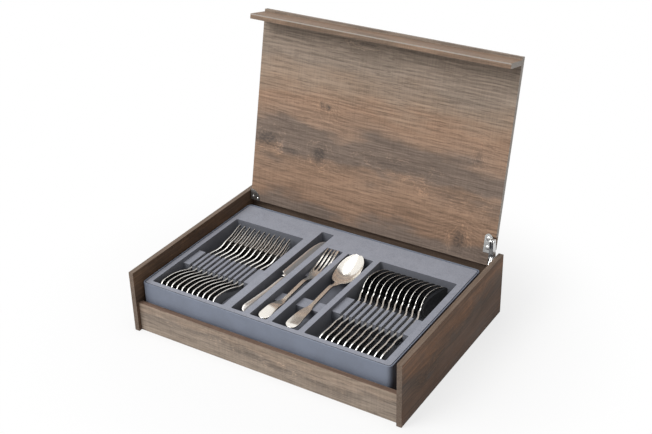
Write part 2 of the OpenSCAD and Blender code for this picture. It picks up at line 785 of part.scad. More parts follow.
module knife_shape() {
    translate([0, 0, -1]) linear_extrude(2) {
        polygon([[-blade_r + 3, bolster_s - 1], [-blade_r, bolster_s + 12], [-blade_r, knife_l - 45],
            [-blade_r + 2, knife_l - 22], [-blade_r + 6, knife_l - 7], [-1, knife_l], [3, knife_l - 2],
            [blade_r - 3, knife_l - 14], [blade_r - 0.6, knife_l - 32], [blade_r, knife_l - 50],
            [blade_r, bolster_s - 1]]);
    }
    translate([0, 0, -4]) linear_extrude(8) translate([-6, bolster_s - 5]) square([12, 5]);
    intersection() {
        translate([0, 0, -knife_handle_t / 2]) linear_extrude(knife_handle_t) {
            translate([0, 9.5]) circle(9.5);
            mirrored([[9.5, 9.5], [7.6, 34], [5.4, 66], [4.6, bolster_s - 4]]);
        }
        translate([-10, 0, 0]) rotate([90, 0, 90]) linear_extrude(20)
            mirror([1, 0]) rotate(90) mirrored([[2.2, 0], [knife_handle_t / 2, 6], [knife_handle_t / 2, 40],
                [2.7, bolster_s - 4]]);
        // the handle's four long edges are cut off at its wide end
        translate([0, bolster_s, 0]) rotate([90, 0, 0]) linear_extrude(bolster_s + 5)
            polygon([[10, -0.5], [10, 0.5], [6.5, 4], [-6.5, 4],
                [-10, 0.5], [-10, -0.5], [-6.5, -4], [6.5, -4]]);
    }
}

// A fork or spoon on its edge in the slot number i of its row
module row_fork(i) {
    color(steel) in_tray()
        translate([fork_row_x + fork_first + i * row_pitch, margin_front + row_start, row_z])
            rotate([0, -90, 0]) fork_shape();
}

module row_spoon(i) {
    color(steel) in_tray()
        translate([spoon_row_x + spoon_first + i * row_pitch, margin_front + row_start, row_z])
            rotate([0, 90, 0]) spoon_shape();
}

module fork_01() { row_fork(0); }
module fork_02() { row_fork(1); }
module fork_03() { row_fork(2); }
module fork_04() { row_fork(3); }
module fork_05() { row_fork(4); }
module fork_06() { row_fork(5); }
module fork_07() { row_fork(6); }
module fork_08() { row_fork(7); }
module fork_09() { row_fork(8); }
module fork_10() { row_fork(9); }
module fork_11() { row_fork(10); }
module spoon_01() { row_spoon(0); }
module spoon_02() { row_spoon(1); }
module spoon_03() { row_spoon(2); }
module spoon_04() { row_spoon(3); }
module spoon_05() { row_spoon(4); }
module spoon_06() { row_spoon(5); }
module spoon_07() { row_spoon(6); }
module spoon_08() { row_spoon(7); }
module spoon_09() { row_spoon(8); }
module spoon_10() { row_spoon(9); }
module spoon_11() { row_spoon(10); }

// A single piece lies in its channel, its head a little higher than its handle
module lying(x, z, yaw) {
    translate([x, margin_front + single_start, z]) rotate([single_pitch, 0, yaw]) children();
}

module display_fork() {
    color(steel) in_tray() lying(fork_x + fork_channel_w / 2 + 1, single_z - 1.5, fork_yaw) fork_shape();
}

module display_spoon() {
    color(steel) in_tray()
        lying(spoon_x + spoon_channel_w / 2 + 1.8, single_z + 2.5, spoon_yaw) spoon_shape();
}

module display_knife() {
    color(steel) in_tray() translate([knife_mid, margin_front + knife_start, knife_z])
        rotate([0, -90 - knife_lean, 0]) knife_shape();
}

module lower_knives() {
    color(steel) in_tray() for (i = [0 : lower_count - 1])
        translate([lower_row_x + lower_first + i * lower_pitch, margin_front + knife_start, lower_knife_z])
            rotate([0, -90, 0]) knife_shape();
}

left_side();
right_side();
front_board();
back_board();
bottom_panel();
case_dowels();
bottom_dowels();
lid_panel();
lid_front_strip();
strip_dowels();
left_corner_plate();
left_corner_screws();
left_pivot_pin();
stay_lid_plate();
stay_lid_leaves();
stay_lid_rivet();
stay_lid_screws();
stay_case_plate();
stay_case_leaves();
stay_case_rivet();
stay_case_screws();
stay_pivot_pin();
lower_tray();
lower_insert();
lower_knives();
upper_tray();
upper_insert();
display_knife();
display_fork();
display_spoon();
fork_01();
fork_02();
fork_03();
fork_04();
fork_05();
fork_06();
fork_07();
fork_08();
fork_09();
fork_10();
fork_11();
spoon_01();
spoon_02();
spoon_03();
spoon_04();
spoon_05();
spoon_06();
spoon_07();
spoon_08();
spoon_09();
spoon_10();
spoon_11();
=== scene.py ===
"""Silverware chest: wooden case, lid, two flocked trays and their cutlery.

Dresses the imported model: every visible piece is made here or given its finish here.
"""
import math

import bmesh
import bpy
from mathutils import Euler, Matrix, Vector


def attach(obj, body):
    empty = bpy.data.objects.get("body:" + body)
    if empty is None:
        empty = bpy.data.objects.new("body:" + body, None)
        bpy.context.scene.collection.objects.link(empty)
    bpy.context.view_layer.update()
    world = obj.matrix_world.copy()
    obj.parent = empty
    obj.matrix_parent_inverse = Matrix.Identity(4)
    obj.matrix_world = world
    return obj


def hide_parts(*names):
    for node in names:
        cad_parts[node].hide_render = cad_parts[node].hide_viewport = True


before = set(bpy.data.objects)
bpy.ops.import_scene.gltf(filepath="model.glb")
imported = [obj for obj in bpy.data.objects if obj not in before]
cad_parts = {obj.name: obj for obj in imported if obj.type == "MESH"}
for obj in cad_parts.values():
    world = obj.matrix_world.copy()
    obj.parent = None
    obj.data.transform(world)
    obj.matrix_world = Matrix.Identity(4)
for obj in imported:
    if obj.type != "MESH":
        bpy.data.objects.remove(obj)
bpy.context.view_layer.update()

bl_info = {
    "name": "Silverware chest",
    "version": (1, 0, 0),
    "blender": (4, 5, 0),
    "location": "3D View > Sidebar > Chest",
    "description": "Boards, lid, fittings, trays, flocked inserts and cutlery of a silverware chest",
    "category": "Object",
}

MM = 0.001
QUARTER = math.radians(90)
OPEN = math.radians(102.3)

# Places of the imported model, in millimetres
AXIS = (0.0, 148.0, 99.0)
TRAY = (-220.5, -144.0)
FORK_ROW = 11.5 + 14.4
SPOON_ROW = 281.0 + 16.5
ROW_START = 19.0
ROW_HEIGHT = 65.0
ROW_PITCH = 9.7
ROW_COUNT = 11
KNIFE_START = 20.0
KNIFE_PITCH = 15.0
LOWER_FLOCK_TOP = 38.5
UPPER_FLOCK_TOP = 79.5
FLOCK_SHADE_DEPTH = 24

# Under the heads of the screws, from the hinge axis; those of the lid with the lid closed
STAY_LID_SCREWS = ((208.75, -30.35, -5.2), (208.75, -16.15, -5.2))
LEFT_CORNER_SCREWS = ((-206.4, 8.0, -5.2), (-215.0, 6.0, -5.2))
STAY_CASE_SCREWS = ((220.8, -3.0, -22.0), (220.8, -19.0, -21.0))

# Where a piece lies, from the tray's left front corner, and its turn in degrees
SINGLE_FORK = (204.0, ROW_START, 66.0, (2.7, 0, 1.0))
SINGLE_SPOON = (250.8, ROW_START, 70.0, (2.7, 0, 1.1))
SINGLE_KNIFE = (170.8, KNIFE_START, 70.0, (0, -122.0, 0))
FIRST_LOWER_KNIFE = (131.0, KNIFE_START, 27.0, (0, -90, 0))

# Shape of the cutlery, in millimetres along a piece from its handle's end
NECK = (62.0, 117.0)
HANDLE_BEND = 28
FORK_HANDLE_RISE = 7.5
SPOON_HANDLE_RISE = 3.4
END_DROP = 0.8
FORK_DIP = 7
SPOON_DIP = 6
TIP_RISE = 11.5
PIECE_LONG = 205.0
HANDLE_HALF = 10.0
NECK_HALF = 3.0
HEAD_HALF = 11.2
TINE_GAP = 3.0
TINE_ROOT = 157.0
TINE_TAPER = 187.0
BOWL_FROM = 137.0
BOWL_LONG = 68.0
BOWL_HALF = 20.2
BOWL_DEEP = 8.2
BOWL_FULLNESS = 1.12
BOWL_START_ANGLE = 16
BOLSTER = 112.0
KNIFE_LONG = 230
KNIFE_END_HALF = 9.5


# ---- settings

class ChestSettings(bpy.types.PropertyGroup):
    """Sizes and colours of the chest's looks."""

    board_round: bpy.props.FloatProperty(
        name="Board edge round", description="Radius of the eased edges of the wooden boards",
        default=0.0005, min=0.0001, max=0.001, unit="LENGTH")
    tray_round: bpy.props.FloatProperty(
        name="Tray rim round", description="Radius of the rims and edges of the plastic trays",
        default=0.0006, min=0.0002, max=0.0009, unit="LENGTH")
    flock_round: bpy.props.FloatProperty(
        name="Flock edge round", description="Radius of the edges of the flocked inserts",
        default=0.0006, min=0.0002, max=0.0007, unit="LENGTH")
    plate_round: bpy.props.FloatProperty(
        name="Plate edge round", description="Radius of the edges of the steel plates and leaves",
        default=0.00015, min=0.00005, max=0.0003, unit="LENGTH")
    handle_crown: bpy.props.FloatProperty(
        name="Handle crown", description="How far a handle's middle stands above its edges",
        default=0.00015, min=0.0, max=0.0006, unit="LENGTH")
    tray_colour: bpy.props.FloatVectorProperty(
        name="Tray colour", description="Colour of the plastic trays", subtype="COLOR",
        size=3, min=0.0, max=1.0, default=(0.185, 0.21, 0.268))
    flock_colour: bpy.props.FloatVectorProperty(
        name="Flock colour", description="Colour of the flocked inserts", subtype="COLOR",
        size=3, min=0.0, max=1.0, default=(0.285, 0.298, 0.345))
    steel_colour: bpy.props.FloatVectorProperty(
        name="Cutlery colour", description="Tint of the polished cutlery", subtype="COLOR",
        size=3, min=0.0, max=1.0, default=(0.92, 0.90, 0.85))
    floor_colour: bpy.props.FloatVectorProperty(
        name="Floor colour", description="Colour of the studio floor", subtype="COLOR",
        size=3, min=0.0, max=1.0, default=(0.86, 0.86, 0.86))


def settings():
    return bpy.context.scene.chest


# ---- node helpers

class Nodes:
    """Adds nodes to one tree and wires them."""

    def __init__(self, tree):
        self.tree = tree

    def wire(self, socket, value):
        """Links a socket to another one, or sets its value."""
        if isinstance(value, bpy.types.NodeSocket):
            self.tree.links.new(value, socket)
        elif socket.type == "RGBA" and len(value) == 3:
            socket.default_value = (*value, 1.0)
        else:
            socket.default_value = value

    def feed(self, node, inputs):
        """Wires a node's inputs by name or number."""
        for key, value in inputs.items():
            self.wire(node.inputs[key], value)

    def add(self, kind, inputs=None, **attributes):
        """Adds a node, sets its attributes and feeds it."""
        made = self.tree.nodes.new(kind)
        for key, value in attributes.items():
            setattr(made, key, value)
        self.feed(made, inputs or {})
        return made

    def coordinate(self, kind):
        return self.add("ShaderNodeTexCoord").outputs[kind]

    def maths(self, operation, *values):
        return self.add("ShaderNodeMath", dict(enumerate(values)), operation=operation).outputs[0]

    def times(self, first, second):
        return self.maths("MULTIPLY", first, second)

    def vector_maths(self, operation, *values):
        made = self.add("ShaderNodeVectorMath", dict(enumerate(values)), operation=operation)
        return made.outputs["Value" if operation in {"DOT_PRODUCT", "LENGTH"} else "Vector"]

    def part(self, vector, axis):
        return self.add("ShaderNodeSeparateXYZ", {0: vector}).outputs[axis]

    def combine(self, x=0.0, y=0.0, z=0.0):
        return self.add("ShaderNodeCombineXYZ", {0: x, 1: y, 2: z}).outputs[0]

    def fade(self, value, low, high, out_low=0.0, out_high=1.0):
        return self.add("ShaderNodeMapRange", {
            "Value": value, "From Min": low, "From Max": high, "To Min": out_low, "To Max": out_high},
            interpolation_type="SMOOTHSTEP").outputs["Result"]

    def blend(self, factor, first, second, mode="MIX"):
        return self.add("ShaderNodeMix", {0: factor, 6: first, 7: second},
                        data_type="RGBA", blend_type=mode).outputs[2]

    def noise(self, vector, scale, detail=2.0, rough=0.5, distortion=0.0):
        """Noise whose scale is one number, or a tuple of one for each axis."""
        if isinstance(scale, tuple):
            vector, scale = self.vector_maths("MULTIPLY", vector, scale), 1.0
        return self.add("ShaderNodeTexNoise", {
            "Vector": vector, "Scale": scale, "Detail": detail, "Roughness": rough,
            "Distortion": distortion}).outputs["Fac"]

    def ramp(self, factor, stops):
        made = self.add("ShaderNodeValToRGB", {0: factor})
        elements = made.color_ramp.elements
        while len(elements) < len(stops):
            elements.new(0.5)
        for element, (place, colour) in zip(elements, stops):
            element.position = place
            element.color = (*colour, 1.0)
        return made.outputs["Color"]

    def group(self, name, inputs):
        """Places a shader group and returns its outputs."""
        return self.add("ShaderNodeGroup", inputs, node_tree=bpy.data.node_groups[name]).outputs

    def bump(self, shader, height, strength, distance):
        made = self.add("ShaderNodeBump", {"Strength": strength, "Distance": distance, "Height": height})
        self.wire(shader.inputs["Normal"], made.outputs["Normal"])


FLOAT = "NodeSocketFloat"
VECTOR = "NodeSocketVector"
GEOMETRY = "NodeSocketGeometry"
MATERIAL = "NodeSocketMaterial"
NUMBERS = {float: FLOAT, int: "NodeSocketInt"}


def new_group(name, sockets_in, names_out, kind="ShaderNodeTree", type_out=FLOAT):
    """A node group: returns its nodes, its inputs and the node of its outputs.

    An input is given by its default number, or by its type if it has no default.
    """
    tree = bpy.data.node_groups.new(name, kind)
    for label, given in sockets_in.items():
        plain = isinstance(given, str)
        socket = tree.interface.new_socket(
            label, in_out="INPUT", socket_type=given if plain else NUMBERS[type(given)])
        if not plain:
            socket.default_value = given
    for label in names_out:
        tree.interface.new_socket(label, in_out="OUTPUT", socket_type=type_out)
    return Nodes(tree), tree.nodes.new("NodeGroupInput").outputs, tree.nodes.new("NodeGroupOutput")


# ---- shader groups

def build_grain_group():
    """Lines, streaks and pores of the printed wood, with the grain along X."""
    n, given, result = new_group("Wood grain", {
        "Vector": VECTOR, "Ring Pitch": 0.009, "Waviness": 5.0, "Shift": 0.0, "Seed": VECTOR},
        ("Rings", "Streaks", "Pores", "Patches", "Height"))
    place = n.vector_maths("ADD", given["Vector"], given["Seed"])
    broad = n.noise(place, (3.2, 11.0, 11.0), 2.0, 0.45, 0.4)
    phase = n.maths("DIVIDE", n.part(place, "Y"), given["Ring Pitch"])
    phase = n.maths("ADD", phase, n.times(broad, given["Waviness"]))
    phase = n.maths("ADD", phase, given["Shift"])
    ragged = n.noise(place, (14.0, 260.0, 260.0), 3.0, 0.6)
    turn = n.maths("FRACT", n.maths("ADD", phase, n.times(ragged, 0.55)))
    rings = n.times(n.fade(turn, 0.0, 0.72), n.fade(turn, 0.86, 1.0, 1.0, 0.0))
    wear_and_highlight = n.noise(place, (4.5, 17.0, 17.0))
    streaks = n.noise(place, (12.0, 310.0, 310.0), 4.0, 0.68)
    saw = n.noise(place, (420.0, 28.0, 28.0), 2.0, 0.6)
    streaks = n.maths("ADD", n.times(streaks, 0.8), n.times(saw, 0.2))
    pores = n.fade(n.noise(place, (50.0, 620.0, 620.0), 3.0, 0.6), 0.52, 0.66)
    n.feed(result, {
        "Rings": n.times(rings, n.fade(wear_and_highlight, 0.36, 0.62, 0.25, 1.0)), "Streaks": streaks, "Pores": pores,
        "Patches": n.noise(place, (9.0, 24.0, 24.0), 4.0, 0.55),
        "Height": n.maths("SUBTRACT", n.times(streaks, 0.5), n.times(pores, 0.6))})


def build_knot_group():
    """One knot: its dark core, its pale figure and how far it bends the lines round it."""
    n, given, result = new_group("Wood knot", {"Vector": VECTOR, "Centre": VECTOR, "Size": VECTOR},
                                 ("Core", "Shift", "Figure"))
    place = given["Vector"]
    away = n.vector_maths("DIVIDE", n.vector_maths("SUBTRACT", place, given["Centre"]), given["Size"])
    ragged = n.maths("SUBTRACT", n.noise(place, 130.0, 3.0, 0.6), 0.5)
    distance = n.maths("ADD", n.vector_maths("LENGTH", away), n.times(ragged, 1.1))
    bands = n.maths("FRACT", n.times(distance, 2.1))
    lines = n.times(n.fade(bands, 0.55, 0.75), n.fade(bands, 0.75, 0.95, 1.0, 0.0))
    near = n.times(n.fade(distance, 0.25, 0.6), n.fade(distance, 1.5, 2.4, 1.0, 0.0))
    broken = n.fade(n.noise(place, 60.0), 0.42, 0.58)
    specks = n.fade(n.noise(place, (170.0, 320.0, 1.0), 3.0, 0.6), 0.36, 0.62, 0.4, 1.0)
    n.feed(result, {
        "Core": n.times(n.fade(distance, 0.35, 1.35, 1.0, 0.0), specks),
        "Shift": n.fade(distance, 0.0, 4.5, 3.2, 0.0),
        "Figure": n.times(lines, n.times(near, broken))})


def build_edge_band_group():
    """Masks the narrow faces of a board, off the two broad ones."""
    n, given, result = new_group("Edge band", {"Face Axis": VECTOR}, ["Mask"])
    facing = n.vector_maths("DOT_PRODUCT", n.coordinate("Normal"), given["Face Axis"])
    n.feed(result, {"Mask": n.fade(n.maths("ABSOLUTE", facing), 0.35, 0.85, 1.0, 0.0)})


def build_flock_group():
    """Short fibres of a flocked or moulded surface, with patches where the nap lies differently."""
    n, given, result = new_group("Fibres", {"Vector": VECTOR, "Fibre Scale": 1800.0, "Patch Scale": 45.0},
                                 ("Shade", "Patches", "Height"))
    place = given["Vector"]
    fine = n.noise(place, given["Fibre Scale"], 2.0, 0.6)
    clump = n.noise(place, n.times(given["Fibre Scale"], 0.3), 3.0, 0.6)
    shade = n.maths("ADD", n.times(fine, 0.6), n.times(clump, 0.4))
    n.feed(result, {
        "Shade": n.fade(shade, 0.3, 0.7), "Height": shade,
        "Patches": n.fade(n.noise(place, given["Patch Scale"], 4.0, 0.6), 0.32, 0.68)})


def build_upward_group():
    """Masks what faces up: the tops of the cutlery and of the flock."""
    n, given, result = new_group("Upward faces", {"Low": 0.55, "High": 0.85}, ["Mask"])
    height = n.part(n.coordinate("Normal"), "Z")
    n.feed(result, {"Mask": n.fade(height, given["Low"], given["High"])})


def build_polish_group():
    """Wiped marks and hairline scratches of worked steel."""
    n, given, result = new_group("Polish marks", {"Vector": VECTOR, "Line Scale": VECTOR}, ("Marks", "Lines"))
    place = given["Vector"]
    n.feed(result, {
        "Marks": n.fade(n.noise(place, 38.0, 4.0, 0.62, 0.5), 0.35, 0.7),
        "Lines": n.noise(n.vector_maths("MULTIPLY", place, given["Line Scale"]), 1.0, 2.0, 0.6)})


# ---- finishes

def new_finish(name, **sockets):
    """A material whose shader has these constants: returns its nodes, its shader and coordinates."""
    material = bpy.data.materials.new(name)
    material.use_nodes = True
    n = Nodes(material.node_tree)
    shader = n.tree.nodes["Principled BSDF"]
    n.feed(shader, {label.replace("_", " "): value for label, value in sockets.items()})
    return n, shader, n.coordinate("Object")


def finish(name):
    return bpy.data.materials[name]


# What the lines, pores and knots of the printed wood, and its painted edge highlight, do to its colour
LINE_TINT = (0.42, 0.40, 0.38)
PORE_COLOUR = (0.07, 0.05, 0.04)
KNOT_COLOUR = (0.075, 0.062, 0.055)
FIGURE_TINT = (1.75, 1.65, 1.55)
PAINTED_HIGHLIGHT_FADE = 0.0004
BAND_WANDER = 0.11
PORE_SHARE = 0.36
FIGURE_SHARE = 0.6
EDGE_SHARE = 0.8


def printed_wood(name, turn, face_axis, bands, band_span, edge, seed, knots=(), pitch=0.009,
                 waviness=5.0, line_depth=0.34, origin=(0.0, 0.0, 0.0), ends_only=False, painted_highlight_below=None):
    """A board's printed finish. turn lays the grain along X, and bands colour the board across it.

    A knot is its place along and across the board, its half sizes and how dark it is. The colours of
    edge go on the narrow faces, or with ends_only on the two ends alone. The narrow faces get a painted
    highlight, pale below the height painted_highlight_below in the board's thickness.
    """
    n, shader, place = new_finish(name, Roughness=0.55, Specular_IOR_Level=0.2)
    turned = n.add("ShaderNodeMapping", {
        "Vector": n.vector_maths("SUBTRACT", place, origin), "Rotation": turn}).outputs["Vector"]
    plan = n.vector_maths("MULTIPLY", turned, (1.0, 1.0, 0.0))
    shift, marks = 0.0, []
    for x, y, half_x, half_y, depth in knots:
        knot = n.group("Wood knot", {
            "Vector": plan, "Centre": (x, y, 0.0), "Size": (half_x, half_y, 1.0)})
        shift = n.maths("ADD", knot["Shift"], shift)
        marks.append((n.times(knot["Core"], depth), n.times(knot["Figure"], FIGURE_SHARE)))
    grain = n.group("Wood grain", {
        "Vector": turned, "Ring Pitch": pitch, "Waviness": waviness, "Shift": shift, "Seed": seed})
    # the bands wander a little across the board
    wander = n.times(n.maths("SUBTRACT", grain["Patches"], 0.5), BAND_WANDER)
    across = n.add("ShaderNodeMapRange", {
        "Value": n.maths("ADD", n.part(turned, "Y"), wander),
        "From Min": band_span[0], "From Max": band_span[1]}).outputs["Result"]
    colour = n.ramp(across, bands)
    colour = n.blend(n.times(grain["Rings"], line_depth), colour,
                     n.blend(1.0, colour, LINE_TINT, "MULTIPLY"))
    streak = n.fade(grain["Streaks"], 0.3, 0.7, 0.78, 1.38)
    streak = n.add("ShaderNodeCombineColor", {0: streak, 1: streak, 2: streak}).outputs[0]
    colour = n.blend(1.0, colour, streak, "MULTIPLY")
    colour = n.blend(n.times(grain["Pores"], PORE_SHARE), colour, PORE_COLOUR)
    for core, figure in marks:
        colour = n.blend(core, colour, KNOT_COLOUR)
        colour = n.blend(figure, colour, n.blend(1.0, colour, FIGURE_TINT, "MULTIPLY"))
    band = n.group("Edge band", {"Face Axis": (1.0, 0.0, 0.0) if ends_only else face_axis})["Mask"]
    if ends_only:
        band = n.maths("SUBTRACT", 1.0, band)
    edges = n.blend(n.fade(grain["Streaks"], 0.35, 0.65), *edge)
    colour = n.blend(n.times(band, EDGE_SHARE), colour, edges)
    # painted highlight: a pale line on the narrow faces, below the given height in the board's thickness
    if painted_highlight_below is not None:
        narrow = n.group("Edge band", {"Face Axis": face_axis})["Mask"]
        wear_and_highlight = n.fade(n.part(turned, "Z"), painted_highlight_below - PAINTED_HIGHLIGHT_FADE, painted_highlight_below, 0.85, 0.0)
        colour = n.blend(n.times(narrow, wear_and_highlight), colour, edge[0])
    n.feed(shader, {"Base Color": colour, "Roughness": n.fade(grain["Patches"], 0.2, 0.8, 0.5, 0.66)})
    n.bump(shader, grain["Height"], 0.25, 0.0002)


def build_woods():
    pivot = tuple(c * MM for c in AXIS)
    lid_normal = (0.0, math.sin(OPEN), math.cos(OPEN))
    grey, warm, dusk = (0.300, 0.236, 0.186), (0.345, 0.222, 0.150), (0.205, 0.155, 0.124)
    pale_edge = ((0.40, 0.36, 0.32), (0.54, 0.50, 0.46))
    dark_edge = ((0.14, 0.105, 0.08), (0.22, 0.17, 0.135))
    printed_wood(
        "wood.lid", (OPEN, 0.0, 0.0), lid_normal,
        ((0.0, dusk), (0.06, (0.29, 0.185, 0.125)), (0.17, warm), (0.25, (0.30, 0.20, 0.14)),
         (0.30, dusk), (0.40, dusk), (0.46, (0.31, 0.21, 0.15)), (0.56, warm),
         (0.66, (0.33, 0.24, 0.175)), (0.78, grey), (0.9, (0.27, 0.215, 0.17)), (1.0, (0.25, 0.2, 0.16))),
        (0.0, -0.31), pale_edge, (0.31, 0.12, 0.0), pitch=0.0060, waviness=7.5, line_depth=0.30,
        origin=pivot, ends_only=True, knots=(
            (-0.088, -0.171, 0.006, 0.006, 0.8), (-0.099, -0.173, 0.005, 0.006, 0.8),
            (-0.197, -0.098, 0.023, 0.015, 0.8), (-0.148, -0.087, 0.022, 0.006, 0.5),
            (-0.096, -0.092, 0.014, 0.016, 0.85), (0.161, -0.014, 0.012, 0.018, 0.8),
            (-0.029, -0.281, 0.022, 0.005, 0.5), (0.045, -0.104, 0.045, 0.009, 0.3),
            (0.140, -0.082, 0.05, 0.009, 0.3), (0.175, -0.150, 0.006, 0.012, 0.4)))
    strip_normal = (0.0, math.cos(OPEN), -math.sin(OPEN))
    # the strip gets a painted highlight, a thin pale line along its narrow faces
    printed_wood(
        "wood.strip", (OPEN + QUARTER, 0.0, 0.0), strip_normal,
        ((0.0, (0.215, 0.145, 0.10)), (0.5, (0.25, 0.165, 0.112)), (1.0, (0.20, 0.14, 0.10))),
        (0.0, 0.045), pale_edge, (1.7, 0.3, 0.2), pitch=0.006, waviness=3.0, origin=pivot,
        ends_only=True, painted_highlight_below=-0.3000)
    printed_wood(
        "wood.front", (-QUARTER, 0.0, 0.0), (0.0, 1.0, 0.0),
        ((0.0, (0.31, 0.25, 0.20)), (0.45, (0.26, 0.21, 0.17)), (0.7, (0.34, 0.26, 0.20)),
         (1.0, (0.30, 0.235, 0.18))),
        (0.0, 0.05), ((0.095, 0.052, 0.036), (0.150, 0.088, 0.062)), (0.9, 2.1, 0.4),
        pitch=0.0075, waviness=7.0, line_depth=0.26, knots=(
            (-0.115, 0.030, 0.03, 0.005, 0.3), (-0.02, 0.024, 0.035, 0.006, 0.35),
            (0.03, 0.020, 0.02, 0.006, 0.35), (0.10, 0.018, 0.02, 0.004, 0.3)))
    printed_wood(
        "wood.back", (-QUARTER, 0.0, 0.0), (0.0, 1.0, 0.0),
        ((0.0, (0.20, 0.14, 0.10)), (1.0, (0.17, 0.12, 0.09))), (0.0, 0.09), dark_edge, (2.4, 0.6, 0.9))
    printed_wood(
        "wood.bottom", (0.0, 0.0, 0.0), (0.0, 0.0, 1.0),
        ((0.0, (0.26, 0.19, 0.14)), (1.0, (0.22, 0.165, 0.13))), (-0.15, 0.15), dark_edge, (3.3, 1.6, 0.2))
    side_stops = (0.0, 0.35, 0.6, 0.85, 1.0)
    right_bands = tuple(zip(side_stops, (
        (0.086, 0.045, 0.025), (0.108, 0.056, 0.031), (0.070, 0.040, 0.023), (0.190, 0.092, 0.044),
        (0.130, 0.068, 0.036))))
    left_bands = tuple(zip(side_stops, (
        (0.086, 0.053, 0.034), (0.107, 0.065, 0.041), (0.075, 0.047, 0.031), (0.150, 0.089, 0.051),
        (0.118, 0.075, 0.048))))
    side_turn = (0.0, QUARTER, QUARTER)
    printed_wood(
        "wood.right", side_turn, (1.0, 0.0, 0.0), right_bands, (0.0, 0.105), dark_edge,
        (4.1, 0.9, 1.3), pitch=0.007, waviness=8.0, line_depth=0.55, knots=(
            (0.0, 0.055, 0.035, 0.008, 0.35), (0.08, 0.035, 0.012, 0.006, 0.5),
            (-0.07, 0.075, 0.01, 0.005, 0.45)))
    printed_wood(
        "wood.left", side_turn, (1.0, 0.0, 0.0), left_bands, (0.0, 0.105), dark_edge,
        (5.7, 0.4, 2.2), pitch=0.008, waviness=7.0, line_depth=0.42)


def build_beech():
    n, shader, place = new_finish("wood.dowels", Roughness=0.6)
    grain = n.group("Wood grain", {
        "Vector": place, "Ring Pitch": 0.0014, "Waviness": 2.0, "Seed": (0.2, 0.3, 0.1)})
    n.feed(shader, {"Base Color": n.blend(grain["Streaks"], (0.44, 0.29, 0.16), (0.62, 0.45, 0.28))})
    n.bump(shader, grain["Height"], 0.3, 0.0001)


def build_plastic():
    base = Vector(settings().tray_colour)
    n, shader, place = new_finish("tray.plastic", Roughness=0.42, Specular_IOR_Level=0.35)
    fibres = n.group("Fibres", {"Vector": place, "Fibre Scale": 1400.0, "Patch Scale": 26.0})
    colour = n.blend(fibres["Patches"], base * 0.93, base * 1.07)
    n.feed(shader, {
        "Base Color": n.blend(n.times(fibres["Shade"], 0.16), colour, base * 1.35),
        "Roughness": n.fade(fibres["Patches"], 0.0, 1.0, 0.36, 0.5)})
    n.bump(shader, fibres["Height"], 0.12, 0.00005)


def build_flock(name, top):
    """Flock painted pale on top, up to the height given, with painted shade darker down in the pockets and on
    the faces that do not look up.
    """
    base = Vector(settings().flock_colour)
    n, shader, place = new_finish(name, Roughness=0.95, Specular_IOR_Level=0.15,
                                  Sheen_Weight=0.3, Sheen_Roughness=0.45)
    fibres = n.group("Fibres", {"Vector": place, "Fibre Scale": 1700.0, "Patch Scale": 60.0})
    colour = n.blend(fibres["Shade"], base * 0.76, base * 1.2)
    colour = n.blend(n.times(fibres["Patches"], 0.35), colour, base * 1.22)
    # painted shade: darker down in the pockets and on the faces that do not look up, and painted light on the
    # tops
    high = n.fade(n.part(place, "Z"), (top - FLOCK_SHADE_DEPTH) * MM, top * MM, 0.25, 1.0)
    upward = n.group("Upward faces", {"Low": 0.1, "High": 0.8})["Mask"]
    painted_light = n.times(high, n.fade(upward, 0.0, 1.0, 0.35, 1.0))
    n.feed(shader, {"Base Color": n.blend(painted_light, base * 0.40, colour)})
    n.bump(shader, fibres["Height"], 0.6, 0.0003)


def worked_steel(name, colour, rough, line_scale, depth):
    """Steel whose marks change its roughness between the two values of rough."""
    base = Vector(colour)
    n, shader, place = new_finish(name, Metallic=1.0)
    marks = n.group("Polish marks", {"Vector": place, "Line Scale": line_scale})
    paler = tuple(min(1.0, c * 1.05) for c in base)
    n.feed(shader, {
        "Base Color": n.blend(marks["Lines"], base * 0.94, paler),
        "Roughness": n.fade(marks["Marks"], 0.0, 1.0, *rough)})
    n.bump(shader, marks["Lines"], depth, 0.00002)


def build_cutlery_steel(name, tint, low, high, metal):
    """Polished steel with painted reflection: its sides are painted dark, for the dark reflection of the
    pieces beside them, and the faces that look up are paler and a little duller.
    """
    base = Vector(c * t for c, t in zip(settings().steel_colour, tint))
    n, shader, place = new_finish(name)
    marks = n.group("Polish marks", {"Vector": place, "Line Scale": (1600.0, 60.0, 1600.0)})
    painted_reflection_mask = n.group("Upward faces", {"Low": low, "High": high})["Mask"]
    # painted reflection: the sides are darkened, standing in for the dark reflection of the pieces beside
    # them
    colour = n.blend(painted_reflection_mask, base * 0.30, base)
    wiped = n.fade(marks["Marks"], 0.0, 1.0, 0.10, 0.14)
    n.feed(shader, {
        "Base Color": n.blend(n.times(marks["Lines"], 0.16), colour, base * 0.6),
        "Metallic": n.fade(painted_reflection_mask, 0.0, 1.0, 1.0, metal),
        "Roughness": n.maths("ADD", wiped, n.times(painted_reflection_mask, 0.04))})
    n.bump(shader, marks["Lines"], 0.06, 0.00002)


def build_steels():
    build_cutlery_steel("steel.rows", (1.0, 1.0, 1.0), 0.55, 0.85, 0.60)
    build_cutlery_steel("steel.singles", (0.98, 0.96, 0.94), 0.35, 0.65, 0.84)
    build_cutlery_steel("steel.knife", (0.92, 0.90, 0.90), 0.25, 0.45, 0.55)
    worked_steel("steel.plates", (0.60, 0.60, 0.59), (0.24, 0.38), (900.0, 160.0, 160.0), 0.25)
    worked_steel("steel.dark", (0.30, 0.29, 0.28), (0.34, 0.5), (700.0, 200.0, 200.0), 0.25)
    worked_steel("steel.screws", (0.74, 0.74, 0.73), (0.18, 0.30), (900.0, 900.0, 900.0), 0.15)


# ---- mesh helpers

WELD_REACH = 2e-6
FLAT_ANGLE = math.radians(0.6)
CORNER_ANGLE = math.radians(50)


